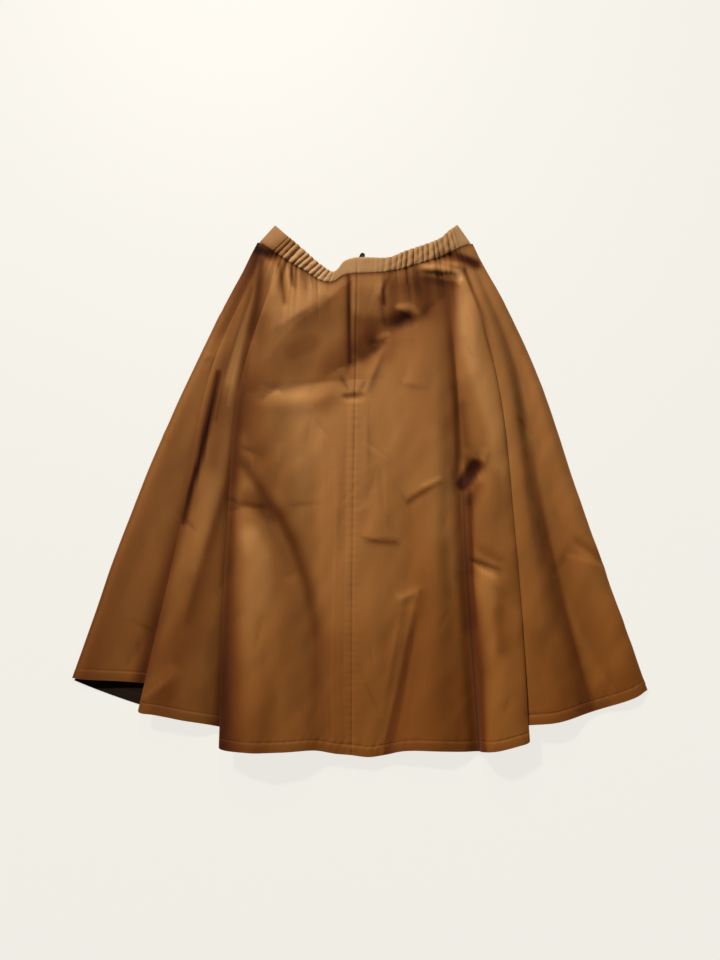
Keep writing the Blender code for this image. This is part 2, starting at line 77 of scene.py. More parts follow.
# A fold line runs down the back from waist to hem. Across the skirt the cloth passes through the lines in
# this order, so a line that lies left of the one before it makes the cloth double back as a lapped fold.
# heights are at waist, hip, knee and hem.
Line = namedtuple("Line", "name waist hip_x knee_x hem heights")
LINES = (
    Line("left edge", (-147, 363), -221, -328, (-420, -275), (4.2, 2.4, 2.4, 2.4)),
    Line("side panel", (-143, 361), -214, -318, (-410, -276), (5.5, 6.5, 7.5, 8.0)),
    Line("side tuck", (-139, 358), -194, -238, (-295, -290), (6.5, 5.0, 5.0, 5.0)),
    Line("side lap", (-134, 355), -207, -262, (-324, -322), (7.5, 14.0, 15.0, 16.0)),
    Line("lap back", (-130, 352), -192, -240, (-300, -327), (8.0, 16.0, 18.0, 18.5)),
    Line("lap foot", (-126, 349), -177, -219, (-270, -333), (8.0, 14.0, 17.0, 17.5)),
    Line("flute tuck", (-120, 345), -149, -177, (-180, -356), (8.0, 6.0, 5.0, 5.0)),
    Line("flute edge", (-115, 342), -169, -196, (-206, -374), (8.0, 15.0, 18.0, 22.0)),
    Line("flute top", (-108, 337), -140, -163, (-163, -380), (8.0, 19.0, 28.0, 33.0)),
    Line("flute shoulder", (-98, 331), -108, -120, (-117, -380), (7.5, 15.0, 24.0, 30.0)),
    Line("flute foot", (-79, 320), -73, -74, (-66, -379), (7.0, 11.0, 9.0, 17.0)),
    Line("left centre", (-55, 306), -50, -49, (-47, -382), (7.0, 12.0, 12.0, 15.0)),
    Line("band kink", (-39, 305), -32, -35, (-36, -384), (7.0, 12.5, 14.5, 15.0)),
    Line("placket left", (-25, 314), -18, -23, (-25, -385), (7.5, 12.0, 14.5, 14.5)),
    Line("lap edge", (-14, 316.5), -12, -18, (-18, -385.5), (8.0, 13.0, 15.0, 14.5)),
    Line("centre back", (-4, 317.5), -6.5, -11, (-12, -386), (8.0, 13.0, 15.0, 14.5)),
    Line("right centre", (15, 318), 19, 20, (13, -389), (8.0, 12.0, 15.0, 14.0)),
    Line("drag line", (41, 320), 51, 66, (38, -386), (7.8, 14.0, 12.0, 10.0)),
    Line("right middle", (64, 325), 77, 92, (64, -380), (7.6, 16.0, 17.0, 16.0)),
    Line("valley bank", (91, 333), 108, 112, (114, -380), (7.5, 16.0, 19.0, 19.0)),
    Line("valley lip", (107, 338), 127, 134, (153, -382), (8.0, 10.0, 10.0, 9.0)),
    Line("valley foot", (120, 342), 143, 153, (174, -382), (8.0, 4.5, 4.0, 4.0)),
    Line("ridge edge", (126, 345), 139, 161, (178, -380), (8.0, 18.0, 22.0, 25.0)),
    Line("ridge top", (131, 347), 162, 186, (196, -379), (8.0, 21.5, 26.0, 29.5)),
    Line("ridge shoulder", (137, 350), 180, 208, (225, -373), (8.0, 20.5, 24.0, 26.0)),
    Line("step edge", (142, 353), 193, 228, (248, -365), (8.0, 16.5, 18.5, 21.0)),
    Line("step tuck", (146, 355), 189, 216, (221, -347), (7.0, 15.2, 17.3, 18.4)),
    Line("inner side", (150, 357), 205, 246, (290, -338), (6.5, 14.7, 17.3, 18.4)),
    Line("side valley", (154, 358.5), 219, 268, (340, -324), (6.0, 4.0, 4.0, 4.0)),
    Line("right side", (158, 360), 233, 315, (406, -302), (5.5, 7.0, 8.0, 8.0)),
    Line("right edge", (162, 361), 238, 326.5, (420, -293), (4.2, 2.4, 2.4, 2.4)),
)
LINE_NAMES = [line.name for line in LINES]
CENTRE_BACK = LINE_NAMES.index("centre back")

# Short folds that cross the lines: from start to end, as a ridge where rise is above 0 and a trough below.
# skew leans the fold: above 0 it is steeper on its left, looking from start to end.
Crease = namedtuple("Crease", "name start end rise width skew", defaults=(0.0,))
CREASES = (
    Crease("left waist hollow", (-141, 349), (-118, 338), -4.5, 9),
    Crease("right waist hollow", (112, 338), (152, 347), -3.0, 8),
    Crease("right waist fold", (88, 326), (150, 329), 3.4, 8),
    Crease("left hip shelf", (-143, 124), (-51, 135), 3.0, 20),
    Crease("drag fold", (38, 237), (80, 252), -5.0, 16),
    Crease("zip end pucker", (-23, 137), (3, 137), -3.0, 7),
    Crease("flute head", (-158, 32), (-104, -116), -7.0, 20),
    Crease("side pocket", (172, 45), (152, 4), -9.0, 22),
    Crease("knee fold", (165, -103), (203, -121), -3.0, 8),
)

# Smaller creases, which only this cloth has
SMALL_CREASES = (
    Crease("waist tuck", (88, 323), (152, 318), 4.5, 10, -0.6),
    Crease("upper drag ridge", (52, 268), (92, 248), 3.4, 16, -0.6),
    Crease("lower drag fold", (10, 212), (44, 224), -3.0, 18, 0.5),
    Crease("upright drag fold", (30, 284), (42, 218), -3.0, 16, -0.6),
    Crease("diagonal hollow", (-24, 172), (52, 222), -2.6, 34, 0.5),
    Crease("upper diagonal hollow", (70, 240), (136, 296), -2.4, 34, 0.5),
    Crease("knee ridge", (162, -104), (212, -150), 2.4, 26, 0.6),
    Crease("middle ledge", (66, -12), (120, 18), 2.4, 22, -0.75),
    Crease("low ledge", (2, -72), (66, -68), 1.7, 22, -0.75),
    Crease("lowest ledge", (54, -162), (98, -140), 1.8, 20, -0.7),
    Crease("high right crease", (62, 158), (100, 150), 1.6, 20, -0.7),
    Crease("side crease", (300, -94), (378, -120), 1.8, 26, 0.7),
    Crease("left hem ridge", (-317, -306), (-262, -262), 3.0, 18, 0.6),
    Crease("left hip crest", (-124, 236), (-22, 304), 2.6, 40, -0.5),
    Crease("left pleat", (-116, 334), (-110, 262), -3.0, 10, 0.4),
    Crease("second left pleat", (-100, 330), (-96, 286), -2.2, 8, 0.4),
    Crease("upper pleat", (36, 316), (32, 270), -2.6, 9, -0.5),
    Crease("pucker left", (-28, 168), (-13, 140), -2.0, 8, 0.5),
    Crease("pucker right", (10, 162), (-3, 140), -1.8, 7, -0.5),
    Crease("hip shelf line", (-152, 140), (-24, 166), -2.8, 36, 0.6),
    Crease("hip shelf end", (-150, 128), (-110, 158), -2.0, 18, -0.6),
    Crease("zip left trough", (-15, 306), (-15, 186), -4.0, 13, 0.75),
    Crease("zip right fold", (7, 140), (40, 222), 3.0, 14, -0.5),
    Crease("seam fold", (9, 129), (9, 1), 1.2, 6, 0.5),
    Crease("left pocket end", (-229, 193), (-213, 199), 1.6, 8),
    Crease("flute ledge", (-196, -12), (-134, -30), -2.6, 26, 0.7),
    Crease("left knee crease", (-174, 66), (-132, 44), -1.8, 22, 0.6),
    Crease("ridge dent", (150, 225), (172, 176), -1.6, 22, 0.6),
    Crease("pocket lip", (186, 62), (168, -2), 3.0, 18, 0.6),
    Crease("low right trough", (84, -178), (46, -384), -5.0, 24, 0.6),
    Crease("low right ridge", (64, -150), (30, -340), 2.5, 26, 0.3),
    Crease("left lap crease", (-216, 150), (-262, -60), 2.0, 14, 0.5),
    Crease("side valley notch", (228, 108), (256, 80), -1.2, 14, 0.5),
    Crease("waist left pleat", (-104, 318), (-116, 236), -2.4, 14, 0.4),
    Crease("centre left fold", (-30, 60), (-36, -150), 1.3, 12, 0.5),
    Crease("centre right fold", (30, 40), (34, -60), -1.2, 12, 0.5),
)

# Broad soft forms of the back: a mound where rise is above 0 and a hollow below, size across and along
Swell = namedtuple("Swell", "name centre size rise")
SWELLS = (
    Swell("left hip mound", (-82, 268), (58, 34), 5.5),
    Swell("left hip hollow", (-88, 176), (60, 30), -3.5),
    Swell("right waist mound", (34, 292), (44, 26), 4.0),
    Swell("right hip hollow", (38, 232), (48, 36), -5.0),
    Swell("right waist hollow", (92, 290), (34, 26), -3.0),
    Swell("flute head mound", (-172, -72), (24, 50), 4.0),
    Swell("centre mound", (-20, -30), (70, 120), 3.0),
    Swell("pocket hollow", (162, 26), (22, 32), -4.0),
    Swell("ridge head mound", (166, 236), (18, 60), 4.0),
)
TAB_SWELLS = (Swell("band over the zip's tab", (8.0, 338.0), (6.0, 4.0), 0.7),)

# Painted shade of the cloth along its folds, and painted highlights on them. left and right are how far it
# spreads on either side of a path that runs down the skirt, and right is above a path that runs to the
# right.
# depth is the share by which painted shade darkens the cloth, or a painted highlight makes it paler where it
# is below 0. Several numbers are spread evenly from a path's start to its end. edge is the power that sets
# how crisply the painted tone ends.
Shade = namedtuple("Shade", "name path left right depth edge", defaults=(2.0,))
SHADES = (
    Shade("flute edge",
        ((-144, 336), (-150, 280), (-168, 190), (-181, 60), (-189, -78), (-197, -230), (-202, -372)),
        (8, 9, 9, 12, 10, 12, 18), (6, 10, 12, 9, 14, 26, 28), (0.7, 0.5, 0.6, 0.6, 0.64, 0.76, 0.8)),
    Shade("left waist flank", ((-146, 300), (-152, 236)), 14, 20, 0.24),
    Shade("flute edge head", ((-140, 250), (-152, 170), (-166, 90)), 8, (16, 24), 0.28),
    Shade("side lap", ((-150, 350), (-164, 278), (-202, 168), (-242, 17), (-287, -145), (-328, -313)),
        (12, 12, 16, 14, 15, 13), (4, 4, 4, 7, 12, 8), (0.6, 0.36, 0.6, 0.5, 0.6, 0.6)),
    Shade("side gap",
        ((-207, 172), (-212, 148), (-222, 98), (-232, 50), (-247, 2), (-258, -46)),
        4, 5, (0.7, 0.9, 0.9, 0.6), 3),
    Shade("lap plane",
        ((-208, -60), (-240, -170), (-272, -240), (-288, -300)),
        (20, 40), (14, 36), (0.05, 0.34, 0.45)),
    Shade("flute head",
        ((-170, 40), (-144, 4), (-120, -32), (-98, -76), (-77, -140), (-62, -220), (-66, -364)),
        (8, 10, 8, 10, 14), (12, 10, 12, 18, 24), (0.42, 0.55, 0.46, 0.3, 0.14)),
    Shade("flute head pool", ((-162, -12), (-128, -36)), 12, 15, 0.36, 3),
    Shade("above the flute", ((-150, 60), (-126, 12)), 14, 15, 0.2),
    Shade("flute foot", ((-140, -190), (-142, -340)), 16, 18, 0.14),
    Shade("beside the lap", ((-203, 128), (-214, 40)), 16, 16, 0.3),
    Shade("flute head side", ((-166, 150), (-156, 60)), 8, 28, 0.24),
    Shade("flute ledge", ((-140, -24), (-166, -22), (-188, -28)), 5, 2, 0.36),
    Shade("left hip crest",
        ((-24, 297), (-58, 265), (-90, 244), (-116, 214)),
        3, (30, 38), (0.32, 0.32, 0.16)),
    Shade("left hip patch", ((-72, 216), (-98, 204)), 14, 14, 0.24, 4),
    Shade("left hip shelf", ((-20, 162), (-60, 161), (-112, 157), (-146, 146)), (40, 28), 3, (0.3, 0.22)),
    Shade("left hip end", ((-28, 196), (-42, 176)), 20, 16, 0.14),
    Shade("right hip",
        ((126, 276), (82, 258), (48, 236), (18, 206), (-20, 184)),
        (34, 34), (24, 10, 4, 4), (0.2, 0.36, 0.46)),
    Shade("right hip side", ((92, 310), (98, 240), (104, 190)), 50, 34, (0.14, 0.3, 0.1)),
    Shade("zip end", ((16, 244), (14, 226), (4, 206)), 14, 14, (0.5, 0.66, 0.4), 3),
    Shade("zip pool", ((-4, 250), (-8, 204)), 8, 8, 0.4),
    Shade("drag diamond", ((70, 256), (54, 249), (40, 246)), (6, 15, 12), (4, 9, 7), (0.5, 0.56, 0.44), 3),
    Shade("low drag pool", ((34, 216), (22, 206)), 6, 5, 0.4),
    Shade("right waist", ((116, 298), (86, 302), (54, 300)), (14, 18), (24, 18), (0.36, 0.46, 0.44)),
    Shade("right waist tuck", ((140, 301), (118, 307), (95, 311)), 3, 8, (0.4, 0.6, 0.4), 2.5),
    Shade("right band end", ((124, 345), (148, 341), (170, 332)), 9, 7, (0.5, 0.9, 0.85), 3),
    Shade("step shadow", ((152, 322), (178, 256), (192, 190)), 2.5, 4, (0.6, 0.4, 0.1)),
    Shade("left band end", ((-150, 354), (-135, 346), (-120, 338)), 9, 9, (0.85, 0.85, 0.3), 3),
    Shade("zip left", ((-16, 312), (-15.5, 250), (-14.5, 188)), 5, 3, 0.72),
    Shade("valley",
        ((134, 304), (137, 200), (140, 100), (145, -5), (151, -104), (161, -171), (174, -260), (180, -378)),
        (24, 12, 4, 3, 4, 12, 28, 30), (5, 5, 5, 5, 8, 12, 8, 5),
        (0.42, 0.42, 0.3, 0.26, 0.4, 0.66, 0.62, 0.62)),
    Shade("ridge edge line",
        ((161, -2), (163, -80), (164, -130), (170, -196)),
        (6, 6), 2, (0.4, 0.5, 0.5, 0.2)),
    Shade("pocket", ((169, 37), (151, 10)), 11, 11, (0.8, 0.84), 5),
    Shade("pocket foot", ((170, 6), (160, -16)), 8, 9, 0.5),
    Shade("ridge dent", ((148, 124), (155, 66)), 5, 9, 0.3),
    Shade("above the knee", ((200, -100), (176, -86)), 10, 5, 0.24),
    Shade("valley side", ((129, 30), (130, -60), (134, -134)), 7, 7, -0.2),
    Shade("valley floor", ((148, -124), (155, -200)), 7, 8, 0.3),
    Shade("side crease", ((318, -74), (352, -98)), 5, 8, 0.3),
    Shade("right waist upper", ((84, 312), (97, 262)), 12, 12, 0.28),
    Shade("under the drag", ((60, 247), (49, 230), (40, 196)), 14, 14, 0.3),
    Shade("hook side", ((46, 302), (50, 264)), 9, 9, 0.28),
    Shade("left of zip", ((-13, 254), (-19, 214)), 13, 12, 0.26),
    Shade("zip end side", ((-40, 134), (-62, 124)), 9, 14, 0.24),
    Shade("below drag pool", ((22, 206), (10, 190)), 11, 9, 0.3),
    Shade("below pocket", ((157, -8), (158, -60), (160, -116)), 10, 9, (0.5, 0.4, 0.4)),
    Shade("side valley",
        ((222, 170), (234, 139), (249, 94), (256, 22), (275, -72), (299, -171), (325, -268), (340, -318)),
        (6, 6, 10, 14, 18, 22), 4, (0.0, 0.12, 0.34, 0.42, 0.52, 0.34)),
    Shade("lit side valley bank", ((236, 150), (250, 60)), 7, 7, -0.16),
    Shade("right knee side", ((200, -176), (206, -230)), 9, 12, 0.24),
    Shade("right hem side", ((262, -216), (300, -290)), 26, 20, 0.16),
    Shade("middle shade", ((72, -30), (76, -124)), 16, 20, 0.14),
    Shade("low right trough",
        ((84, -158), (70, -220), (56, -290), (36, -376)),
        3, (14, 24, 28), (0.3, 0.45, 0.5)),
    Shade("left side", ((-246, 250), (-300, 60), (-362, -110), (-416, -266)), 50, 56, (0.24, 0.26, 0.5)),
    Shade("left waist side", ((-154, 350), (-170, 306), (-200, 236)), 20, 12, (0.55, 0.6, 0.3)),
    Shade("left band furrows", ((-94, 372), (-122, 350)), 12, 12, 0.5),
    Shade("left band corner", ((-116, 386), (-144, 356)), 18, 16, 0.25),
    Shade("low right middle", ((108, -150), (116, -260), (122, -370)), 44, 24, (0.14, 0.3)),
    Shade("low centre", ((-30, -230), (-36, -370)), 34, 34, 0.16),
    Shade("low flute", ((-150, -300), (-150, -376)), 40, 30, (0.05, 0.25)),
    Shade("right hem", ((276, -322), (330, -312), (400, -280)), 24, 24, 0.2),
    Shade("lit left waist", ((-60, 296), (-92, 268), (-112, 250)), 26, 10, -0.24),
    Shade("lit shelf",
        ((-92, 138), (-82, 108), (-76, 60), (-70, 0)),
        (30, 30, 20), (26, 30), (-0.42, -0.3, -0.1)),
    Shade("shelf point", ((-122, 146), (-142, 150)), 3, 8, -0.3),
    Shade("lit flute", ((-158, -66), (-146, -98), (-150, -164), (-158, -330)), (18, 22, 18),
        (16, 26, 18), (-0.55, -0.36, -0.06), 3),
    Shade("lit flute foot", ((-90, 40), (-82, -50)), 14, 14, -0.16),
    Shade("lit hem ridge", ((-316, -292), (-276, -258)), 12, 8, -0.3),
    Shade("lit middle", ((4, 130), (14, 0), (-6, -140)), 64, 64, -0.22),
    Shade("lit valley bank", ((112, 80), (118, -60)), 14, 14, -0.24),
    Shade("lit ridge head",
        ((147, 304), (150, 250), (156, 200), (176, 140), (192, 90), (200, 40)),
        (7, 9, 12), (18, 26, 30), (-0.5, -0.46, -0.36)),
    Shade("lit tuck", ((147, 309), (142, 320), (117, 325), (92, 328)), 4, 4, (-0.5, -0.7, -0.5), 3),
    Shade("lit knee", ((186, -118), (184, -150), (190, -230)), (15, 8), (15, 10), (-0.5, -0.3, -0.1), 3),
    Shade("knee line", ((200, -114), (178, -105), (163, -102)), 4, 2.5, 0.45),
    Shade("lit upper lap", ((-160, 306), (-180, 226), (-192, 160)), 8, 8, -0.34),
    Shade("lit lap", ((-192, 80), (-214, 0), (-240, -110)), 12, 12, -0.22),
    Shade("lit right edge", ((262, 190), (330, -40), (356, -150)), 26, 26, -0.18),
    Shade("lit ridge hem", ((200, -250), (214, -364)), 16, 16, -0.14),
    Shade("low right side", ((286, -110), (322, -190), (356, -262)), 6, 44, 0.16),
    Shade("ridge flank", ((140, 150), (149, 52)), 8, 12, 0.34),
    Shade("left pleat", ((-117, 330), (-110, 276)), 4, 5, 0.42),
    Shade("second left pleat", ((-101, 328), (-97, 300)), 3, 4, 0.4),
    Shade("third left pleat", ((-82, 318), (-80, 296)), 3, 4, 0.3),
    Shade("upper pleat", ((37, 316), (33, 272)), 2.5, 4, 0.42),
    Shade("pucker", ((2, 141), (-22, 139)), 3, 4, 0.4),
    Shade("lit left pleat", ((-129, 334), (-125, 290)), 6, 6, -0.2),
    Shade("lit second pleat", ((-108, 326), (-102, 296)), 3.5, 3, -0.3),
    Shade("lit zip strip", ((-9, 308), (-8.5, 194)), 2.5, 2.5, -0.26),
    Shade("lit drag ridge", ((84, 261), (72, 270), (56, 268)), 5, 5, -0.7, 3),
    Shade("lit low drag ridge", ((40, 230), (27, 224)), 4, 5, -0.6, 3),
    Shade("drag hook", ((44, 318), (33, 294), (35, 274)), 2, 4, (0.3, 0.6)),
    Shade("lit hook", ((38, 312), (28, 290)), 4, 2, -0.25),
    Shade("middle ledge", ((116, 12), (94, 0), (70, -16)), 2, 5, (0.2, 0.4)),
    Shade("lit middle ledge", ((117, 18), (92, 7)), 4, 2, -0.3),
    Shade("low ledge", ((54, -76), (30, -75), (6, -68)), 2, 4, (0.36, 0.3)),
    Shade("lit lowest ledge", ((80, -148), (56, -158)), 8, 6, -0.24),
    Shade("left side line", ((-156, 294), (-176, 236), (-194, 176), (-210, 102)), 3, 2, (0.2, 0.4, 0.3)),
    Shade("lit side line", ((-154, 294), (-175, 206), (-193, 126)), 2, 4, (-0.2, -0.4)),
    Shade("lap plane line",
        ((-178, 128), (-192, 17), (-228, -104), (-252, -190)),
        (6, 5), (12, 8), (0.3, 0.5, 0.2)),
)

# Upper edge of the back waistband, with the height of its middle and the share of full gathers there
BandTop = namedtuple("BandTop", "line top height gathers")
BAND_TOPS = (
    BandTop("left edge", (-124, 388), 4.4, 0.0),
    BandTop("lap back", (-107, 373), 8.5, 0.0),
    BandTop("flute tuck", (-99, 366), 9.0, 1.0),
    BandTop("flute shoulder", (-78, 348), 8.0, 1.0),
    BandTop("flute foot", (-62, 334), 7.5, 1.0),
    BandTop("left centre", (-43, 321), 7.0, 0.5),
    BandTop("band kink", (-34, 323), 7.5, 0.0),
    BandTop("placket left", (-24, 335), 7.8, 0.0),
    BandTop("lap edge", (-14, 339), 8.0, 0.0),
    BandTop("centre back", (-4, 341), 8.0, 0.0),
    BandTop("right centre", (15, 341), 8.0, 0.0),
    BandTop("drag line", (42, 341), 7.8, 0.4),
    BandTop("right middle", (66, 350), 7.6, 1.0),
    BandTop("valley bank", (90, 358), 7.5, 1.0),
    BandTop("valley foot", (114, 367), 8.5, 1.0),
    BandTop("ridge shoulder", (129, 379), 9.0, 1.0),
    BandTop("inner side", (137, 385), 7.5, 0.0),
    BandTop("right edge", (142, 389), 4.4, 0.0),
)

# Lower and upper edges of the front waistband, which lies under the back one
FrontBand = namedtuple("FrontBand", "lower upper")
FRONT_BAND = (
    FrontBand((-146, 361), (-125, 386)),
    FrontBand((-98, 328), (-82, 348)),
    FrontBand((-52, 303), (-42, 317)),
    FrontBand((-8, 301), (-6, 325)),
    FrontBand((34, 304), (33, 330)),
    FrontBand((78, 318), (68, 344)),
    FrontBand((124, 337), (112, 361)),
    FrontBand((161, 359), (141, 387)),
)

# Rows and columns of the panels
SMALLEST_CHORD = 0.5
COLUMN_SPACING = 3.4
MIN_STEPS = 5
PANEL_ROWS = 215
ROW_CROWDING = 1.12
PANEL_LENGTH = 704.0
STITCH_ROWS = (-0.3, -0.15, -0.06, 0.0, 0.06, 0.15, 0.3)
EDGE_ROWS = (0.02, 0.06, 0.15, 0.3)
SIDE_STEPS = 4

# Gathers under the band, faint waves and dents
GATHER_PITCH = 17.0
CREST_ROUNDING = 0.8
GATHER_RISE = 1.6
GATHER_REACH = 0.11
BAND_PITCH = 8.5
FINE_GATHER_RISE = 1.2
FINE_GATHER_REACH = 0.05
CRUMPLE_SEED = 11
CRUMPLE_WAVES = 22
CRUMPLE_PITCHES = (24.0, 110.0)
CRUMPLE_TURN = 0.45
CRUMPLE_SWING = 7.0
CRUMPLE_SWING_PITCH = 47.0
DENT_SEED = 5
DENT_COUNT = 70
DENT_X = (-330, 330)
DENT_Y = (-360, 300)
DENT_TURN = 0.5
DENT_HALF = (15, 45)
DENT_RISE = (0.3, 1.0)
DENT_LEAN = (-0.6, 0.6)
DENT_WIDTH = (6, 16)
HOLLOW_DEPTH = 1.6
WAIST_EASE = 0.03

# Seam at the centre back, which is open over the zip and sewn below it
BAND_TOP_Y = 341.0
ZIP_END = BAND_TOP_Y - ZIP_LENGTH
LIP_RANGE = (193.0, 266.0)
LIP_COLUMNS = 24
LIP_LEAST = 0.05
LIP_EASE = 5.0
SEWN_EASE = 12.0
SEAM_GROOVE = 0.7
ZIP_GROOVE = 0.5
GROOVE_WIDTH = 1.5
SEAM_PUCKER = 0.32
PUCKER_REACH = 8.0
PUCKER_PITCH = 10.5
RIPPLE_RISE = 0.12
RIPPLE_AWAY = 26
RIPPLE_REACH = 20
RIPPLE_PITCH = 9.5
RIPPLE_TOP = 120
RIPPLE_EASE = 60

# Turned and stitched hem
TURNED_RISE = 0.35
TURNED_EASE = 0.7
STITCH_GROOVE = 0.55
STITCH_GROOVE_WIDTH = 1.2
HEM_PUCKER = 0.3
HEM_PUCKER_PITCH = 12.0
HEM_PUCKER_REACH = 8.0
FRONT_GROOVE = 0.25
HEM_EXTRA = 0.4

# Front and its waistband
FRONT_ROWS = 40
FRONT_COLUMNS = 121
FRONT_BAND_COLUMNS = 301
FRONT_BAND_HALF = 0.95
FRONT_BAND_WAVE = 0.2
FRONT_BAND_TAPER = 0.8

# Waistband of the back
BAND_TAPER = 0.88
BAND_ROWS = 25
BAND_COLUMN = 0.75
LOBE_ROUNDNESS = 0.45
FURROW = 0.3
BAND_SLACK = 0.25
BAND_SLACK_PITCH = 31.0
SCALLOP = 0.7

# Tape and teeth of the zip
TAPE_THICKNESS = 0.5
TAPE_COLUMNS = 17
TAPE_DEPTH = 1.0
TAPE_EASE = 9
TAPE_CLEARANCES = (-3, -1.5, 0, 1.5, 3)
TAPE_TOP_ROWS = 8
TAPE_TOP_GAP = 2.5
TAPE_INSET = 1.5
TAPE_UNDER_BAND = 5.4
TOOTH_LENGTH = 3.4
TOOTH_HEIGHT = 0.7
TOOTH_SHARE = 0.72
TOOTH_FACETS = (5, 6)
TEETH_TOP = 326.0

# Stitches
STITCH_WIDTH = 0.5
STITCH_HEIGHT = 0.4
STITCH_SHARE = 0.8
STITCH_FACETS = (4, 6)
THREAD_SHADE = 0.8

# Shapes of all pieces: where a tooth or stitch ends, as a share of half a turn, and the sharpest smooth edge
GRAIN_END = 0.06
SHARP_ANGLE = 60

# Stage, in metres
FLOOR_SIZE = 24.0
FLOOR_DROP = 0.0002
FLOOR_SHARE = 0.13
FLOOR_GLOW = 0.89
ROOM_STRENGTH = 0.08
BACKDROP_STRENGTH = 0.96
LIGHT_TARGET = (0.0, 0.0, 0.0)
Light = namedtuple("Light", "name kind place size share colour")
LIGHTS = (
    Light("window_light", "SUN", (-1.0, 1.5, 1.0), 0.06, 0.165, (1.0, 0.97, 0.92)),
    Light("ceiling_light", "AREA", (-0.22, 0.95, 0.62), 0.4, 0.4, (1.0, 0.97, 0.95)),
)
SENSOR_WIDTH = 36.0
VIEW_WIDTH = 1.0512
VIEW_CENTRE = (0.0, 0.0153)
CLOTH_HEIGHT = 0.012

# Looks of the cloth. Fine and long are how often a pattern changes in a metre, across and along itself
YARN_FINE = 900.0
YARN_LONG = 18.0
CLOUD_SCALE = 7.0
STREAK_FINE = 55.0
STREAK_LONG = 5.0
CLOUD_TONE = 0.14
STREAK_TONE = 0.1
YARN_TONE = 0.12
# Share of painted shade in the cloth's hollows
HOLLOW_SHADE = 0.3
# Share by which the hem's edge is paler and its stitch line takes painted shade
EDGE_AND_STITCH_TONE = 0.22
CLOUD_ROUGHNESS = 0.1
WEAVE_SHARE = 0.5
WEAVE_RELIEF = 0.00012
WEAVE_STRENGTH = 0.35
COTTON_GLOSS = 0.14
SHEEN_ROUGHNESS = 0.4
Finish = namedtuple("Finish", "roughness sheen fading")
RIGHT_SIDE = Finish(0.8, 0.04, 1.0)
WRONG_SIDE = Finish(0.8, 0.1, 0.0)
BAND_FINISH = Finish(0.75, 0.1, 0.0)

# Power of each channel under painted shade in the folds, its rise where a painted tint of the light greys
# the colour, and how much that tint is a metre
DEEPENING = (1.0, 1.35, 1.8)
GREYING = (-0.03, 0.07, 0.28)
LIGHT_TINT_UP = 3.2
LIGHT_TINT_RIGHT = 1.2

# Painted shade of the panels and the band, under the band, at the hem, at the stitches and in hollows and
# furrows, and a paler hem edge: shares, and how far they reach in millimetres
SEAM_SHADE = 0.5
SEAM_SHADE_REACH = 3.5
HEM_SHADE = 0.2
HEM_SHADE_REACH = 9.0
HEM_EDGE_PALING = 0.4
STITCH_SHADE = 0.6
EDGE_STITCH_REACH = 1.3
WIDE_HOLLOW_SHADE = 0.6
BAND_HOLLOW_SHADE = 1.6
FURROW_SHADE = 0.8

# Looks of the zip's tape
TAPE_RIB = 0.0008
TAPE_WARP = 0.0006
RIB_TONE = 0.12
WARP_TONE = 0.06
WARP_SHARE = 0.5
TAPE_RELIEF = 0.0002
TAPE_STRENGTH = 0.5
TAPE_ROUGHNESS = 0.75
TAPE_SHEEN = 0.2

# Looks of the thread and the zip's nylon
THREAD_GRAIN = 900.0
GRAIN_TONE = 0.25
GRAIN_RELIEF = 0.0001
GRAIN_STRENGTH = 0.4
NYLON_ROUGHNESS = 0.35
THREAD_ROUGHNESS = 0.5

# Looks of the zip's metal
SCRATCH_FINE = 1800.0
SCRATCH_LONG = 220.0
SCRATCH_RELIEF = 0.00004
SCRATCH_STRENGTH = 0.5
SCRATCH_ROUGHNESS = 0.3
METAL_ROUGHNESS = 0.36
RUBBED_SCALE = 260.0
RUBBED_TONE = 0.9

# Looks of the floor
PAPER_GRAIN = 40.0
PAPER_TONE = 0.02
PAPER_ROUGHNESS = 0.9

UPRIGHT = (0.0, 0.0, 1.0)
CLOTH_MAP = "cloth"
BODY = "root"


class SkirtClothSettings(bpy.types.PropertyGroup):
    """Sizes and colours of the skirt's cloth."""

    thickness: bpy.props.FloatProperty(
        name="Thickness", description="Thickness of the cloth", default=0.0006, unit="LENGTH"
    )
    hem_depth: bpy.props.FloatProperty(
        name="Hem depth", description="Width of the turned and stitched hem", default=0.015, unit="LENGTH"
    )
    stitch_pitch: bpy.props.FloatProperty(
        name="Stitch", description="Distance from one stitch to the next", default=0.0032, unit="LENGTH"
    )
    yarn_pitch: bpy.props.FloatProperty(
        name="Yarn", description="Distance from one yarn to the next", default=0.0005, unit="LENGTH"
    )
    crumple: bpy.props.FloatProperty(
        name="Crumple",
        description="Height of the faint waves all over the cloth",
        default=0.0009,
        unit="LENGTH",
    )
    colour: bpy.props.FloatVectorProperty(
        name="Colour", description="Right side of the cloth", subtype="COLOR", default=(0.355, 0.137, 0.033)
    )
    # Near black: painted shadow on the wrong side, which lies in shade
    inside_shadow_colour: bpy.props.FloatVectorProperty(
        name="Inside", description="Wrong side of the cloth", subtype="COLOR", default=(0.02, 0.009, 0.004)
    )


class SkirtBandSettings(bpy.types.PropertyGroup):
    """Sizes and colours of the elastic waistband."""

    thickness: bpy.props.FloatProperty(
        name="Thickness", description="Thickness with the elastic inside", default=0.0027, unit="LENGTH"
    )
    gather_pitch: bpy.props.FloatProperty(
        name="Gather", description="Distance from one gather to the next", default=0.0085, unit="LENGTH"
    )
    gather_rise: bpy.props.FloatProperty(
        name="Gather height", description="Height of the gathers", default=0.0019, unit="LENGTH"
    )
    colour: bpy.props.FloatVectorProperty(
        name="Colour", description="Cloth of the waistband", subtype="COLOR", default=(0.46, 0.245, 0.1)
    )


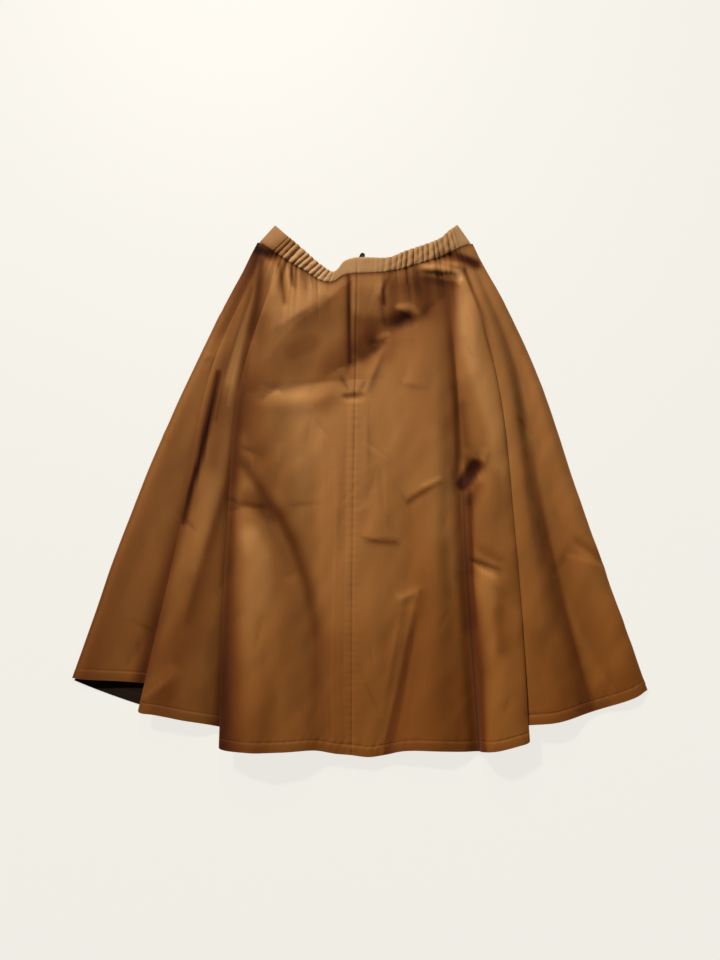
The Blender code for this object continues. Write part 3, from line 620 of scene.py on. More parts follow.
class SkirtZipSettings(bpy.types.PropertyGroup):
    """Sizes and colours of the concealed zip."""

    lip_gap: bpy.props.FloatProperty(
        name="Gap", description="Widest gap between the two lips of the seam", default=0.0016, unit="LENGTH"
    )
    tooth_pitch: bpy.props.FloatProperty(
        name="Tooth", description="Distance from one tooth to the next", default=0.0013, unit="LENGTH"
    )
    tape_colour: bpy.props.FloatVectorProperty(
        name="Tape", description="Woven tape of the zip", subtype="COLOR", default=(0.17, 0.08, 0.03)
    )
    metal_colour: bpy.props.FloatVectorProperty(
        name="Metal", description="Slider and tab", subtype="COLOR", default=(0.10, 0.085, 0.075)
    )


class SkirtStageSettings(bpy.types.PropertyGroup):
    """Floor, light and camera."""

    floor_colour: bpy.props.FloatVectorProperty(
        name="Floor", description="Colour of the floor", subtype="COLOR", default=(0.905, 0.88, 0.82)
    )
    camera_height: bpy.props.FloatProperty(
        name="Camera height", description="Height of the camera over the floor", default=2.4, unit="LENGTH"
    )
    light_power: bpy.props.FloatProperty(
        name="Light", description="Power of all the lights together, in watts", default=15.5
    )


class Value:
    """A shader value. Python's operators on it add Math nodes to its graph."""

    def __init__(self, graph, socket):
        self.graph = graph
        self.socket = socket

    def math(self, operation, *values):
        return self.graph.add("ShaderNodeMath", {"operation": operation}, dict(enumerate(values)))

    def __add__(self, other):
        return self.math("ADD", self, other)

    def __radd__(self, other):
        return self.math("ADD", other, self)

    def __sub__(self, other):
        return self.math("SUBTRACT", self, other)

    def __rsub__(self, other):
        return self.math("SUBTRACT", other, self)

    def __mul__(self, other):
        return self.math("MULTIPLY", self, other)

    def __rmul__(self, other):
        return self.math("MULTIPLY", other, self)

    def wave(self, pitch):
        """Sine of the value, one full wave each pitch."""
        return self.math("SINE", self * (2 * math.pi / pitch))


class Graph:
    """The node tree of a material, which ends in a Principled shader, or of a world."""

    def __init__(self, owner, end="Principled BSDF"):
        owner.use_nodes = True
        self.owner = owner
        self.tree = owner.node_tree
        self.end = self.tree.nodes[end]

    def add(self, kind, settings, inputs, output=0):
        """Add a node. Its settings are set first, then its inputs, by place or by name."""
        node = self.tree.nodes.new(kind)
        for key, value in settings.items():
            setattr(node, key, value)
        for key, value in inputs.items():
            self.feed(node.inputs[key], value)
        return Value(self, node.outputs[output])

    def feed(self, socket, value):
        """Link a shader value to a socket, or set the socket to a plain value."""
        if isinstance(value, Value):
            self.tree.links.new(value.socket, socket)
        else:
            socket.default_value = value

    def split(self, vector):
        """The x and y of a vector."""
        x = self.add("ShaderNodeSeparateXYZ", {}, {"Vector": vector}, "X")
        return x, Value(self, x.socket.node.outputs["Y"])

    def place(self):
        """Object coordinates, in metres."""
        return self.add("ShaderNodeTexCoord", {}, {}, "Object")

    def place_on_cloth(self):
        """Place on the flat cloth, in metres across and along it."""
        return self.add("ShaderNodeUVMap", {"uv_map": CLOTH_MAP}, {})

    def times(self, vector, factors):
        """A vector or colour with each of its three numbers multiplied by its own factor."""
        return self.add("ShaderNodeVectorMath", {"operation": "MULTIPLY"}, {0: vector, 1: factors})

    def joined(self, values):
        """A vector of three values."""
        return self.add("ShaderNodeCombineXYZ", {}, dict(enumerate(values)))

    def stretched(self, vector, across, along):
        """A vector with its x and y scaled, so that a pattern on it is drawn out."""
        return self.times(vector, (across, along, 1.0))

    def noise(self, vector, scale, detail=2.0):
        """Smooth noise between 0 and 1, moved to lie about 0."""
        inputs = {"Vector": vector, "Scale": scale, "Detail": detail}
        return self.add("ShaderNodeTexNoise", {}, inputs) - 0.5

    def attribute(self, name):
        """A number that the mesh holds at each point."""
        return self.add("ShaderNodeAttribute", {"attribute_name": name}, {}, "Fac")

    def shaded(self, colour, tone):
        """A colour made lighter where tone is above 1 and darker where it is below."""
        settings = {"operation": "SCALE"}
        return self.add("ShaderNodeVectorMath", settings, {0: tuple(colour), "Scale": tone})

    def deepened(self, colour, kept):
        """A colour under painted shade, which darkens and turns redder as less of it is kept: each channel
        goes with kept to its power.
        """
        return self.times(colour, self.joined(kept.math("POWER", kept, power) for power in DEEPENING))

    def greyed(self, colour, share):
        """A colour with a painted tint of the light, which turns greyer as share grows: each channel times
        1 + share * its own rise.
        """
        return self.times(colour, self.joined(1.0 + share * rise for rise in GREYING))

    def raised(self, height, distance, strength):
        """Normals of a surface that height lifts by up to distance."""
        inputs = {"Height": height, "Distance": distance, "Strength": strength}
        return self.add("ShaderNodeBump", {}, inputs)

    def finish(self, **inputs):
        """Give the last node its inputs, and return the material or world."""
        for key, value in inputs.items():
            self.feed(self.end.inputs[key.replace("_", " ")], value)
        return self.owner


def cloth_material(name, colour, yarn_pitch, finish):
    """Plain-woven cotton with a slight sheen. Yarns pass over and under each other as the product of two
    sine waves, some yarns are thicker and the colour is cloudy. Painted shade darkens it in hollows, along
    folds and at the stitches, painted highlights make some folds paler, and it is paler at the hem's edge.
    A painted tint of the light turns it greyer towards the waist and the left, and redder towards the hem
    and the right."""
    graph = Graph(bpy.data.materials.new(name))
    cloth = graph.place_on_cloth()
    place = graph.place()
    across, along = graph.split(cloth)
    weave = across.wave(2 * yarn_pitch) * along.wave(2 * yarn_pitch)
    yarns = graph.noise(graph.stretched(cloth, YARN_FINE, YARN_LONG), 1.0) + graph.noise(
        graph.stretched(cloth, YARN_LONG, YARN_FINE), 1.0
    )
    cloud = graph.noise(place, CLOUD_SCALE, 3.0)
    streak = graph.noise(graph.stretched(cloth, STREAK_FINE, STREAK_LONG), 1.0)
    patchy = cloud * CLOUD_TONE + streak * STREAK_TONE + yarns * YARN_TONE
    # Painted shade in hollows and at the stitches, and a paler hem edge
    tone = 1.0 + patchy - graph.attribute("hollow") * HOLLOW_SHADE + graph.attribute("paler_edge_and_stitch_shade") * EDGE_AND_STITCH_TONE
    # Painted shade along the folds darkens and reddens the colour, and painted highlights make it paler
    deepened = graph.deepened(graph.shaded(colour, tone), 1.0 - graph.attribute("fold"))
    x, y = graph.split(place)
    # Painted tint of the light: greyer towards the waist and the left, redder towards the hem and the right
    grey = y * (LIGHT_TINT_UP * finish.fading) - x * (LIGHT_TINT_RIGHT * finish.fading)
    return graph.finish(
        Base_Color=graph.greyed(deepened, grey),
        Roughness=finish.roughness + cloud * CLOUD_ROUGHNESS,
        Normal=graph.raised(weave * WEAVE_SHARE + yarns, WEAVE_RELIEF, WEAVE_STRENGTH),
        Specular_IOR_Level=COTTON_GLOSS,
        Sheen_Weight=finish.sheen,
        Sheen_Roughness=SHEEN_ROUGHNESS,
    )


def tape_material(name, colour):
    """Ribbed woven tape: ribs across it as a sine wave of its length."""
    graph = Graph(bpy.data.materials.new(name))
    across, along = graph.split(graph.place_on_cloth())
    rib = along.wave(TAPE_RIB)
    ends = across.wave(TAPE_WARP)
    tone = 1.0 + rib * RIB_TONE + ends * WARP_TONE
    return graph.finish(
        Base_Color=graph.shaded(colour, tone),
        Roughness=TAPE_ROUGHNESS,
        Normal=graph.raised(rib + ends * WARP_SHARE, TAPE_RELIEF, TAPE_STRENGTH),
        Sheen_Weight=TAPE_SHEEN,
    )


def thread_material(name, colour, roughness):
    """Sewing thread or nylon, with faint noise in its colour and relief."""
    graph = Graph(bpy.data.materials.new(name))
    grain = graph.noise(graph.place(), THREAD_GRAIN)
    return graph.finish(
        Base_Color=graph.shaded(colour, 1.0 + grain * GRAIN_TONE),
        Roughness=roughness,
        Normal=graph.raised(grain, GRAIN_RELIEF, GRAIN_STRENGTH),
    )


def metal_material(name, colour):
    """Dull, darkened zip metal with fine scratches and rubbed spots."""
    graph = Graph(bpy.data.materials.new(name))
    place = graph.place()
    scratch = graph.noise(graph.stretched(place, SCRATCH_FINE, SCRATCH_LONG), 1.0, 3.0)
    rubbed = graph.noise(place, RUBBED_SCALE)
    return graph.finish(
        Base_Color=graph.shaded(colour, 1.0 + rubbed * RUBBED_TONE),
        Roughness=METAL_ROUGHNESS + scratch * SCRATCH_ROUGHNESS,
        Metallic=1.0,
        Normal=graph.raised(scratch, SCRATCH_RELIEF, SCRATCH_STRENGTH),
    )


def floor_material(stage):
    """Matt pale floor that also shines faintly, so that it stays even away from the light."""
    graph = Graph(bpy.data.materials.new("floor_paper"))
    grain = graph.noise(graph.place(), PAPER_GRAIN)
    colour = tuple(stage.floor_colour)
    matt = [channel * FLOOR_SHARE for channel in colour]
    return graph.finish(
        Base_Color=graph.shaded(matt, 1.0 + grain * PAPER_TONE),
        Roughness=PAPER_ROUGHNESS,
        Emission_Color=(*colour, 1.0),
        Emission_Strength=FLOOR_GLOW,
    )


def room_world(stage):
    """Faint even light from all sides, and for the camera a backdrop like the floor past its edge."""
    graph = Graph(bpy.data.worlds.new("room"), "World Output")
    colour = (*stage.floor_colour, 1.0)
    room, backdrop = (
        graph.add("ShaderNodeBackground", {}, {"Color": colour, "Strength": strength})
        for strength in (ROOM_STRENGTH, BACKDROP_STRENGTH)
    )
    seen = graph.add("ShaderNodeLightPath", {}, {}, "Is Camera Ray")
    return graph.finish(Surface=graph.add("ShaderNodeMixShader", {}, {"Fac": seen, 1: room, 2: backdrop}))


def material_once(name, make, *values):
    """The material of that name, made the first time it is asked for."""
    return bpy.data.materials.get(name) or make(name, *values)


def skirt_materials(settings):
    """Right and wrong side of the skirt's cloth. The wrong side's near-black colour is painted shadow."""
    yarn = settings.yarn_pitch
    right = material_once("skirt_right_side", cloth_material, settings.colour, yarn, RIGHT_SIDE)
    wrong = material_once("skirt_wrong_side", cloth_material, settings.inside_shadow_colour, yarn, WRONG_SIDE)
    return right, wrong


def bell(distance, width):
    """exp(-(d/w)^2): 1 where the distance is 0, and near 0 past twice the width."""
    return np.exp(-((distance / width) ** 2))


def unit(vectors):
    """Vectors at their own length of 1."""
    return vectors / np.linalg.norm(vectors, axis=-1, keepdims=True)


def points_at(places, along, points):
    """Points at some lengths on a path, whose own points lie at the lengths along."""
    return np.column_stack([np.interp(places, along, points[:, axis]) for axis in range(3)])


def slopes(knots, points):
    """Tangent at each knot: the runs on both sides of it, each weighted by the length of the other."""
    steps = np.diff(knots)[:, None]
    runs = np.diff(points, axis=0) / steps
    inner = (runs[:-1] * steps[1:] + runs[1:] * steps[:-1]) / (steps[:-1] + steps[1:])
    return np.concatenate([runs[:1], inner, runs[-1:]])


def smooth(knots, points, places):
    """Cubic Hermite curve through points at knots: (1+2f)(1-f)^2 of the start, f^2(3-2f) of the end, and
    f(1-f)^2 and f^2(f-1) of the tangents there."""
    knots = np.asarray(knots, float)
    points = np.asarray(points, float)
    places = np.asarray(places, float)
    tangents = slopes(knots, points)
    index = np.clip(np.searchsorted(knots, places, side="right") - 1, 0, len(knots) - 2)
    span = (knots[index + 1] - knots[index])[:, None]
    f = ((places - knots[index])[:, None]) / span
    start = (1 + 2 * f) * (1 - f) ** 2 * points[index] + f * (1 - f) ** 2 * tangents[index] * span
    end = f**2 * (3 - 2 * f) * points[index + 1] + f**2 * (f - 1) * tangents[index + 1] * span
    return start + end


def length_along(points):
    """Length from the first point to each point."""
    return np.concatenate([[0.0], np.cumsum(np.linalg.norm(np.diff(points, axis=0), axis=1))])


def eased(curve, along):
    """A curve with its sharp turns rounded off: its points, averaged with Gaussian weights of the length."""
    even = np.linspace(0, along[-1], round(along[-1] / EASE_STEP) + 1)
    points = points_at(even, along, curve)
    reach = round(3 * TURN_EASE / EASE_STEP)
    before = 2 * points[0] - points[reach:0:-1]
    after = 2 * points[-1] - points[-2 : -reach - 2 : -1]
    padded = np.concatenate([before, points, after])
    weights = np.exp(-0.5 * (np.arange(-reach, reach + 1) * EASE_STEP / TURN_EASE) ** 2)
    weights /= weights.sum()
    return even, np.column_stack([np.convolve(padded[:, axis], weights, "valid") for axis in range(3)])


def across_lines(points, places):
    """Points at places, counted in lines, on the smooth curve through the lines' points. Its knots are
    spaced by the square root of each chord, which keeps it from looping where points are close."""
    chords = np.linalg.norm(np.diff(points, axis=0), axis=1)
    knots = np.concatenate([[0.0], np.cumsum(np.sqrt(np.maximum(chords, SMALLEST_CHORD)))])
    fine = np.linspace(0, len(points) - 1, FINE_STEPS * (len(points) - 1) + 1)
    curve = smooth(knots, points, np.interp(fine, range(len(knots)), knots))
    along = length_along(curve)
    even, curve = eased(curve, along)
    wanted = np.interp(places, fine, along)
    return points_at(wanted, even, curve)


def line_grid(levels):
    """Every fold line at each level, as rows of levels, columns of lines and x, y and height."""
    levels = np.asarray(levels, float)
    across = np.array([(line.waist[0], line.hip_x, line.knee_x, line.hem[0]) for line in LINES]).T
    heights = np.array([line.heights for line in LINES]).T
    start = np.array([line.waist[1] for line in LINES])
    end = np.array([line.hem[1] for line in LINES])
    x = smooth(LEVELS, across, levels)
    y = start + (end - start) * levels[:, None]
    z = smooth(LEVELS, heights, levels)
    return np.stack([x, y, z], axis=2)


def column_places(spacing):
    """Columns as a line's index and a share of the way to the next line, about spacing apart at the knee and
    closer at the lines where the cloth doubles back."""
    hip, knee, hem = line_grid(LEVELS[1:])
    gaps = np.linalg.norm(np.diff(knee, axis=0), axis=1)
    turning = np.zeros(len(LINES), bool)
    for row in (hip, hem):
        runs = np.sign(np.diff(row[:, 0]))
        turning[1:-1] |= runs[:-1] != runs[1:]
    places = [0.0]
    for index, gap in enumerate(gaps):
        steps = max(MIN_STEPS, round(gap / spacing))
        shares = np.arange(1, steps + 1) / steps
        closer = shares
        if turning[index] and turning[index + 1]:
            closer = (1 - np.cos(shares * math.pi)) / 2
        elif turning[index]:
            closer = 1 - np.cos(shares * math.pi / 2)
        elif turning[index + 1]:
            closer = np.sin(shares * math.pi / 2)
        places += list(index + shares + (closer - shares) * TURN_CROWDING)
    return np.array(places)


def panel_levels(count, hem_share):
    """Levels of the rows: closer at the waist, and closest about the hem's stitches and edge. hem_share is
    the hem's depth as a share of the panel's length."""
    even = np.linspace(0, 1, count) ** ROW_CROWDING
    stitches = 1 - hem_share * (1 + np.array(STITCH_ROWS))
    edge = 1 - hem_share * np.array(EDGE_ROWS)
    levels = np.concatenate([even, stitches, edge])
    return np.unique(np.round(levels, 5))


def path_places(x, y, start, end):
    """Each point's share of the way along a straight path, its distance from it and its signed distance from
    the path's whole line, which is above 0 on the left of someone who walks from start to end."""
    start, way = np.array(start, float), np.subtract(end, start)
    share = np.clip(((x - start[0]) * way[0] + (y - start[1]) * way[1]) / (way @ way), 0, 1)
    away = np.hypot(x - start[0] - share * way[0], y - start[1] - share * way[1])
    side = ((y - start[1]) * way[0] - (x - start[0]) * way[1]) / np.hypot(*way)
    return share, away, side


def crease_rise(x, y, creases):
    """How far broad folds lift the cloth at x, y: rise * (0.35 + 0.65 sin(pi t)) * exp(-2 (d/w)^2), where t
    is the share of the fold's length and d the distance from it."""
    total = np.zeros_like(x)
    for crease in creases:
        share, away, _ = path_places(x, y, crease.start, crease.end)
        along = 0.35 + 0.65 * np.sin(math.pi * share)
        total += crease.rise * along * np.exp(-2 * (away / crease.width) ** 2)
    return total


def spread(value, place):
    """A number, or numbers that are spread evenly from place 0 to place 1."""
    values = np.atleast_1d(value)
    return np.interp(place, np.linspace(0, 1, len(values)), values)


def painted_fold_shade(x, y):
    """Painted shade at x, y along the folds, as the share by which the cloth is darker, and painted
    highlight
    where it is below 0: each path takes depth * exp(-(d/w)^edge) of what the others leave, where d is the
    distance from it and w its width on that side."""
    left = np.ones_like(x)
    for shade in SHADES:
        along = length_along(np.array(shade.path, float))
        along = along / along[-1]
        nearest = np.full_like(x, np.inf)
        place = np.zeros_like(x)
        on_right = np.zeros(x.shape, bool)
        for index, (start, end) in enumerate(zip(shade.path, shade.path[1:])):
            share, away, side = path_places(x, y, start, end)
            closer = away < nearest
            nearest = np.where(closer, away, nearest)
            place = np.where(closer, along[index] + (along[index + 1] - along[index]) * share, place)
            on_right = np.where(closer, side > 0, on_right)
        one, other, depth = (spread(value, place) for value in shade[2:5])
        left *= 1 - depth * np.exp(-((nearest / np.where(on_right, other, one)) ** shade.edge))
    return 1 - left


def crisp_rise(x, y, creases):
    """How far crisp folds lift the cloth at x, y: rise * sin(pi t^a) * exp(-2 d/w), which has a sharp crest.
    w is narrower on the side that the fold leans to, and grows from 0.7 to 1.3 of the fold's width between
    its ends. a is 1 - 0.4 times its lean, which moves the highest place towards its start."""
    total = np.zeros_like(x)
    for crease in creases:
        share, away, side = path_places(x, y, crease.start, crease.end)
        lean = crease.skew * np.tanh(side / CREST_ROUNDING)
        width = crease.width * (1 - lean) * (0.7 + 0.6 * share)
        along = np.sin(math.pi * share ** (1 - 0.4 * abs(crease.skew)))
        crest = np.hypot(away, CREST_ROUNDING) - CREST_ROUNDING
        total += crease.rise * along * np.exp(-2 * crest / width)
    return total


def swell_rise(x, y, swells):
    """Lift of the broad forms: rise * exp(-(dx/across)^2 - (dy/along)^2) about each centre."""
    total = np.zeros_like(x)
    for swell in swells:
        dx, dy = x - swell.centre[0], y - swell.centre[1]
        total += swell.rise * np.exp(-((dx / swell.size[0]) ** 2) - (dy / swell.size[1]) ** 2)
    return total


def gather_wave(along, pitch):
    """Gathers as an uneven wave of the length along the seam, between -1 and 1: the sine of the phase p,
    which is ahead and behind by 0.7 sin(p/3.7), times 0.8 + 0.2 sin(p/2.3)."""
    phase = 2 * math.pi * along / pitch
    return np.sin(phase + 0.7 * np.sin(phase / 3.7)) * (0.8 + 0.2 * np.sin(phase / 2.3))


def gather_share(places):
    """Share of full gathers at places along the waist."""
    marks = [LINE_NAMES.index(top.line) for top in BAND_TOPS]
    return np.interp(places, marks, [top.gathers for top in BAND_TOPS])


def panel_gathers(levels, along, share):
    """Gathers under the waistband: a wave of the seam's length s that dies out down the panel, and a finer
    one in step with the band's own that dies out sooner. Each gather has its own length, which goes with
    1 + 0.45 sin(s/7.3) + 0.3 sin(s/3.1 + 1)."""
    down = levels[:, None]
    fade = np.sin(np.clip(down / GATHER_REACH, 0, 1) * math.pi / 2 + math.pi / 2) ** 2
    uneven = 1 + 0.45 * np.sin(along / 7.3) + 0.3 * np.sin(along / 3.1 + 1.0)
    fine_fade = bell(down, FINE_GATHER_REACH * uneven[None])
    coarse = GATHER_RISE * fade * gather_wave(along, GATHER_PITCH)[None]
    fine = FINE_GATHER_RISE * fine_fade * gather_wave(along, BAND_PITCH)[None]
    return (coarse + fine) * share[None]


def crumples(x, y, height):
    """Faint waves all over the cloth: the sum of seeded sine waves, most of them running down the skirt."""
    rng = np.random.default_rng(CRUMPLE_SEED)
    total = np.zeros_like(x)
    for pitch, turn, phase in zip(
        rng.uniform(*CRUMPLE_PITCHES, CRUMPLE_WAVES),
        rng.normal(0.0, CRUMPLE_TURN, CRUMPLE_WAVES),
        rng.uniform(0.0, 2 * math.pi, CRUMPLE_WAVES),
    ):
        swing = CRUMPLE_SWING * np.sin(y / CRUMPLE_SWING_PITCH + phase)
        way = x * math.cos(turn) + y * math.sin(turn) + swing
        total += pitch / CRUMPLE_PITCHES[1] * np.sin(2 * math.pi * way / pitch + phase)
    return height * total / math.sqrt(CRUMPLE_WAVES / 2)


def small_dents(x, y):
    """Seeded short soft creases, spread over the back, most of them running down the skirt."""
    rng = np.random.default_rng(DENT_SEED)
    dents = []
    for _ in range(DENT_COUNT):
        centre = np.array([rng.uniform(*DENT_X), rng.uniform(*DENT_Y)])
        turn = rng.normal(math.pi / 2, DENT_TURN)
        half = rng.uniform(*DENT_HALF) * np.array([math.cos(turn), math.sin(turn)])
        rise = rng.uniform(*DENT_RISE) * rng.choice([-1, 1])
        lean = rng.uniform(*DENT_LEAN)
        dents.append(Crease("dent", centre - half, centre + half, rise, rng.uniform(*DENT_WIDTH), lean))
    return crisp_rise(x, y, dents)


def seam_relief(x, y, seam_x):
    """Lift about the centre back seam: the groove of the seam, exp(-(d/w)^2) of the distance d from it, its
    puckers as a wave of y that fades away from it, and fine upright ripples on its left, which swing from
    side to side with 0.9 sin(y/55)."""
    away = x - seam_x
    sewn = np.clip((ZIP_END - y) / SEWN_EASE, 0, 1)
    groove = -(SEAM_GROOVE + ZIP_GROOVE * (1 - sewn)) * bell(away, GROOVE_WIDTH)
    pucker = SEAM_PUCKER * np.exp(-np.abs(away) / PUCKER_REACH) * gather_wave(y, PUCKER_PITCH) * sewn
    swing = np.sin(2 * math.pi * away / RIPPLE_PITCH + 0.9 * np.sin(y / 55))
    ripple = RIPPLE_RISE * bell(away + RIPPLE_AWAY, RIPPLE_REACH) * swing
    return groove + pucker + ripple * np.clip((RIPPLE_TOP - y) / RIPPLE_EASE, 0, 1)


def lip_opening(y, widest):
    """Half of the gap between the two lips of the seam over the zip: a low hump, sin(pi t)^0.7, of the share
    t of the way up it."""
    share = np.clip((y - LIP_RANGE[0]) / (LIP_RANGE[1] - LIP_RANGE[0]), 0, 1)
    return LIP_LEAST + (widest / 2 - LIP_LEAST) * np.sin(math.pi * share) ** 0.7


def turned_rise(to_hem, depth, rise):
    """A smooth step up onto the turned hem, at d from its edge: rise / (1 + exp((d - depth) / w))."""
    return rise / (1 + np.exp((to_hem - depth) / TURNED_EASE))


def hem_relief(to_hem, along, depth):
    """Lift near the hem: the turned cloth's thickness, a groove at its stitches and small puckers there."""
    turned = turned_rise(to_hem, depth, TURNED_RISE)
    groove = -STITCH_GROOVE * bell(to_hem - depth, STITCH_GROOVE_WIDTH)
    pucker = HEM_PUCKER * gather_wave(along, HEM_PUCKER_PITCH) * bell(to_hem - depth, HEM_PUCKER_REACH)
    return turned + groove + pucker


def resting_above(height, lowest):
    """Height, eased so that it never falls below lowest: the upper branch of a hyperbola."""
    return 0.5 * (height + lowest + np.sqrt((height - lowest) ** 2 + EDGE_ROUNDING**2))


Back = namedtuple("Back", "grid levels places seam_column")


@functools.cache
def back_surface(crumple, hem_depth, lip_gap):
    """The middle of the back's cloth: the curve across the fold lines at each level, lifted by gathers,
    creases, crumples, the seam and the hem. Sizes are in millimetres."""
    places = column_places(COLUMN_SPACING)
    levels = panel_levels(PANEL_ROWS, hem_depth / PANEL_LENGTH)
    lines = line_grid(levels)
    grid = np.array([across_lines(row, places) for row in lines])
    seam_column = int(np.argmin(abs(places - CENTRE_BACK)))
    x, y, z = np.moveaxis(grid, 2, 0)
    waist = length_along(grid[0, :, :2])
    down = cumulative(grid, 0)
    seam_x = lines[:, CENTRE_BACK, 0][:, None]
    waist_fade = np.clip(levels[:, None] / WAIST_EASE, 0, 1)
    z = z + panel_gathers(levels, waist, gather_share(places))
    z = z + crease_rise(x, y, CREASES)
    z = z + (crisp_rise(x, y, SMALL_CREASES) + swell_rise(x, y, SWELLS)) * waist_fade
    z = z + (crumples(x, y, crumple) + small_dents(x, y)) * waist_fade
    z = z + seam_relief(x, y, seam_x)
    z = z + hem_relief(down[-1] - down, cumulative(grid, 1), hem_depth)
    z = resting_above(z, LOWEST_MIDDLE)
    left = np.arange(len(places)) <= seam_column
    shift = lip_opening(y, lip_gap) * np.exp(-np.abs(x - seam_x) / LIP_EASE)
    shift = shift * (np.abs(np.arange(len(places)) - seam_column) < LIP_COLUMNS)
    grid = np.stack([np.where(left, x - shift, x + shift), y, z], axis=2)
    return Back(grid, levels, places, seam_column)


def cumulative(grid, axis):
    """Length from the first point to each point along an axis of the grid."""
    steps = np.linalg.norm(np.diff(grid, axis=axis), axis=2)
    start = np.zeros_like(np.take(steps, [0], axis=axis))
    return np.concatenate([start, np.cumsum(steps, axis=axis)], axis=axis)


def rolled_side(edge, outward, floor):
    """Columns that carry a side edge round and down to the front in a quarter circle of angle a: outward by
    r sin(a) and down by r (1 - cos(a)), with r the edge's height over floor."""
    angles = np.linspace(0, math.pi / 2, SIDE_STEPS + 1)[1:]
    radius = (edge[:, 2] - floor)[:, None]
    x = edge[:, 0][:, None] + outward * radius * np.sin(angles)
    y = np.repeat(edge[:, 1][:, None], len(angles), axis=1)
    z = edge[:, 2][:, None] - radius * (1 - np.cos(angles))
    return np.stack([x, y, z], axis=2)


def hollows(grid, reach):
    """How hollow the cloth is, from 0 to 1: how far its neighbours' mean height lies above each point."""
    z = grid[..., 2]
    total = np.zeros_like(z)
    for axis in (0, 1):
        pad = [(reach, reach) if a == axis else (0, 0) for a in (0, 1)]
        padded = np.pad(z, pad, mode="edge")
        count = z.shape[axis]
        before = np.take(padded, range(count), axis=axis)
        after = np.take(padded, range(2 * reach, 2 * reach + count), axis=axis)
        total += (before + after) / 2 - z
    return np.clip(total / HOLLOW_DEPTH, 0, 1)


def bisectors(grid, axis):
    """Direction of the grid along an axis at each point, halfway between the edges before and after it."""
    edges = unit(np.diff(grid, axis=axis))
    first, last = np.take(edges, [0], axis=axis), np.take(edges, [-1], axis=axis)
    return np.concatenate([first, edges], axis=axis) + np.concatenate([edges, last], axis=axis)


def normals_of(grid):
    """Upward unit normals of a grid whose rows run down and columns run right: the cross product of the two
    directions of the grid."""
    return unit(np.cross(bisectors(grid, 0), bisectors(grid, 1)))


def shell(name, grid, half, materials, fields=(), origin=0, normals=None):
    """A thin closed shell on a grid: its points moved both ways along the normals by half its thickness, in
    millimetres, and joined round the rim. The cloth map holds the lengths across and down the grid."""
    rows, columns = grid.shape[:2]
    normals = normals_of(grid) if normals is None else np.broadcast_to(normals, grid.shape)
    reach = normals * np.broadcast_to(half, (rows, columns))[..., None]
    points = np.concatenate([(grid + reach).reshape(-1, 3), (grid - reach).reshape(-1, 3)]) * MM
    lower = rows * columns
    number = np.arange(lower).reshape(rows, columns)
    corners = number[:-1, :-1], number[1:, :-1], number[1:, 1:], number[:-1, 1:]
    top = np.stack(corners, axis=2).reshape(-1, 4)
    rim = np.concatenate([number[0, ::-1], number[1:, 0], number[-1, 1:], number[-2:0:-1, -1]])
    after = np.roll(rim, -1)
    sides = np.stack([rim, rim + lower, after + lower, after], axis=1)
    faces = np.concatenate([top, top[:, ::-1] + lower, sides])
    across = cumulative(grid, 1)
    lengths = np.stack([across - across[:, [origin]], cumulative(grid, 0)], axis=2).reshape(-1, 2) * MM
    piece = mesh_object(name, points, faces, materials)
    add_map(piece.data, np.concatenate([lengths, lengths]), faces)
    for key, values in dict(fields).items():
        layer = piece.data.attributes.new(key, "FLOAT", "POINT")
        layer.data.foreach_set("value", np.tile(np.ravel(values), 2).astype(np.float32))
    if len(materials) > 1:
        inner = np.zeros(len(faces), np.int32)
        inner[len(top) : 2 * len(top)] = 1
        piece.data.polygons.foreach_set("material_index", inner)
    return piece


def add_map(data, lengths, faces):
    """The cloth map: a place in metres on the cloth for each corner of each face."""
    layer = data.uv_layers.new(name=CLOTH_MAP)
    layer.data.foreach_set("uv", lengths[faces.ravel()].astype(np.float32).ravel())


def mesh_object(name, points, faces, materials):
    """A smooth object at the origin, in metres."""
    data = bpy.data.meshes.new(name)
    data.from_pydata(points.tolist(), [], faces.tolist())
    for material in materials:
        data.materials.append(material)
    data.shade_smooth()
    data.set_sharp_from_angle(angle=math.radians(SHARP_ANGLE))
    piece = bpy.data.objects.new(name, data)
    bpy.context.scene.collection.objects.link(piece)
    return piece


def dress(piece, slot, *nodes):
    """Put a piece on its body and hide the solids that it stands for; slot is not used."""
    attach(piece, BODY)
    if nodes:
        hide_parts(*nodes)
    return piece


def repeated(name, shape, faces, centres, frames, material):
    """Many copies of one small shape as a single mesh: centre + frame @ point, for all copies at once."""
    points = centres[:, None] + np.einsum("kij,nj->kni", frames, shape)
    count, size = points.shape[:2]
    numbers = faces[None] + (np.arange(count) * size)[:, None, None]
    return mesh_object(name, points.reshape(-1, 3) * MM, numbers.reshape(-1, faces.shape[1]), [material])


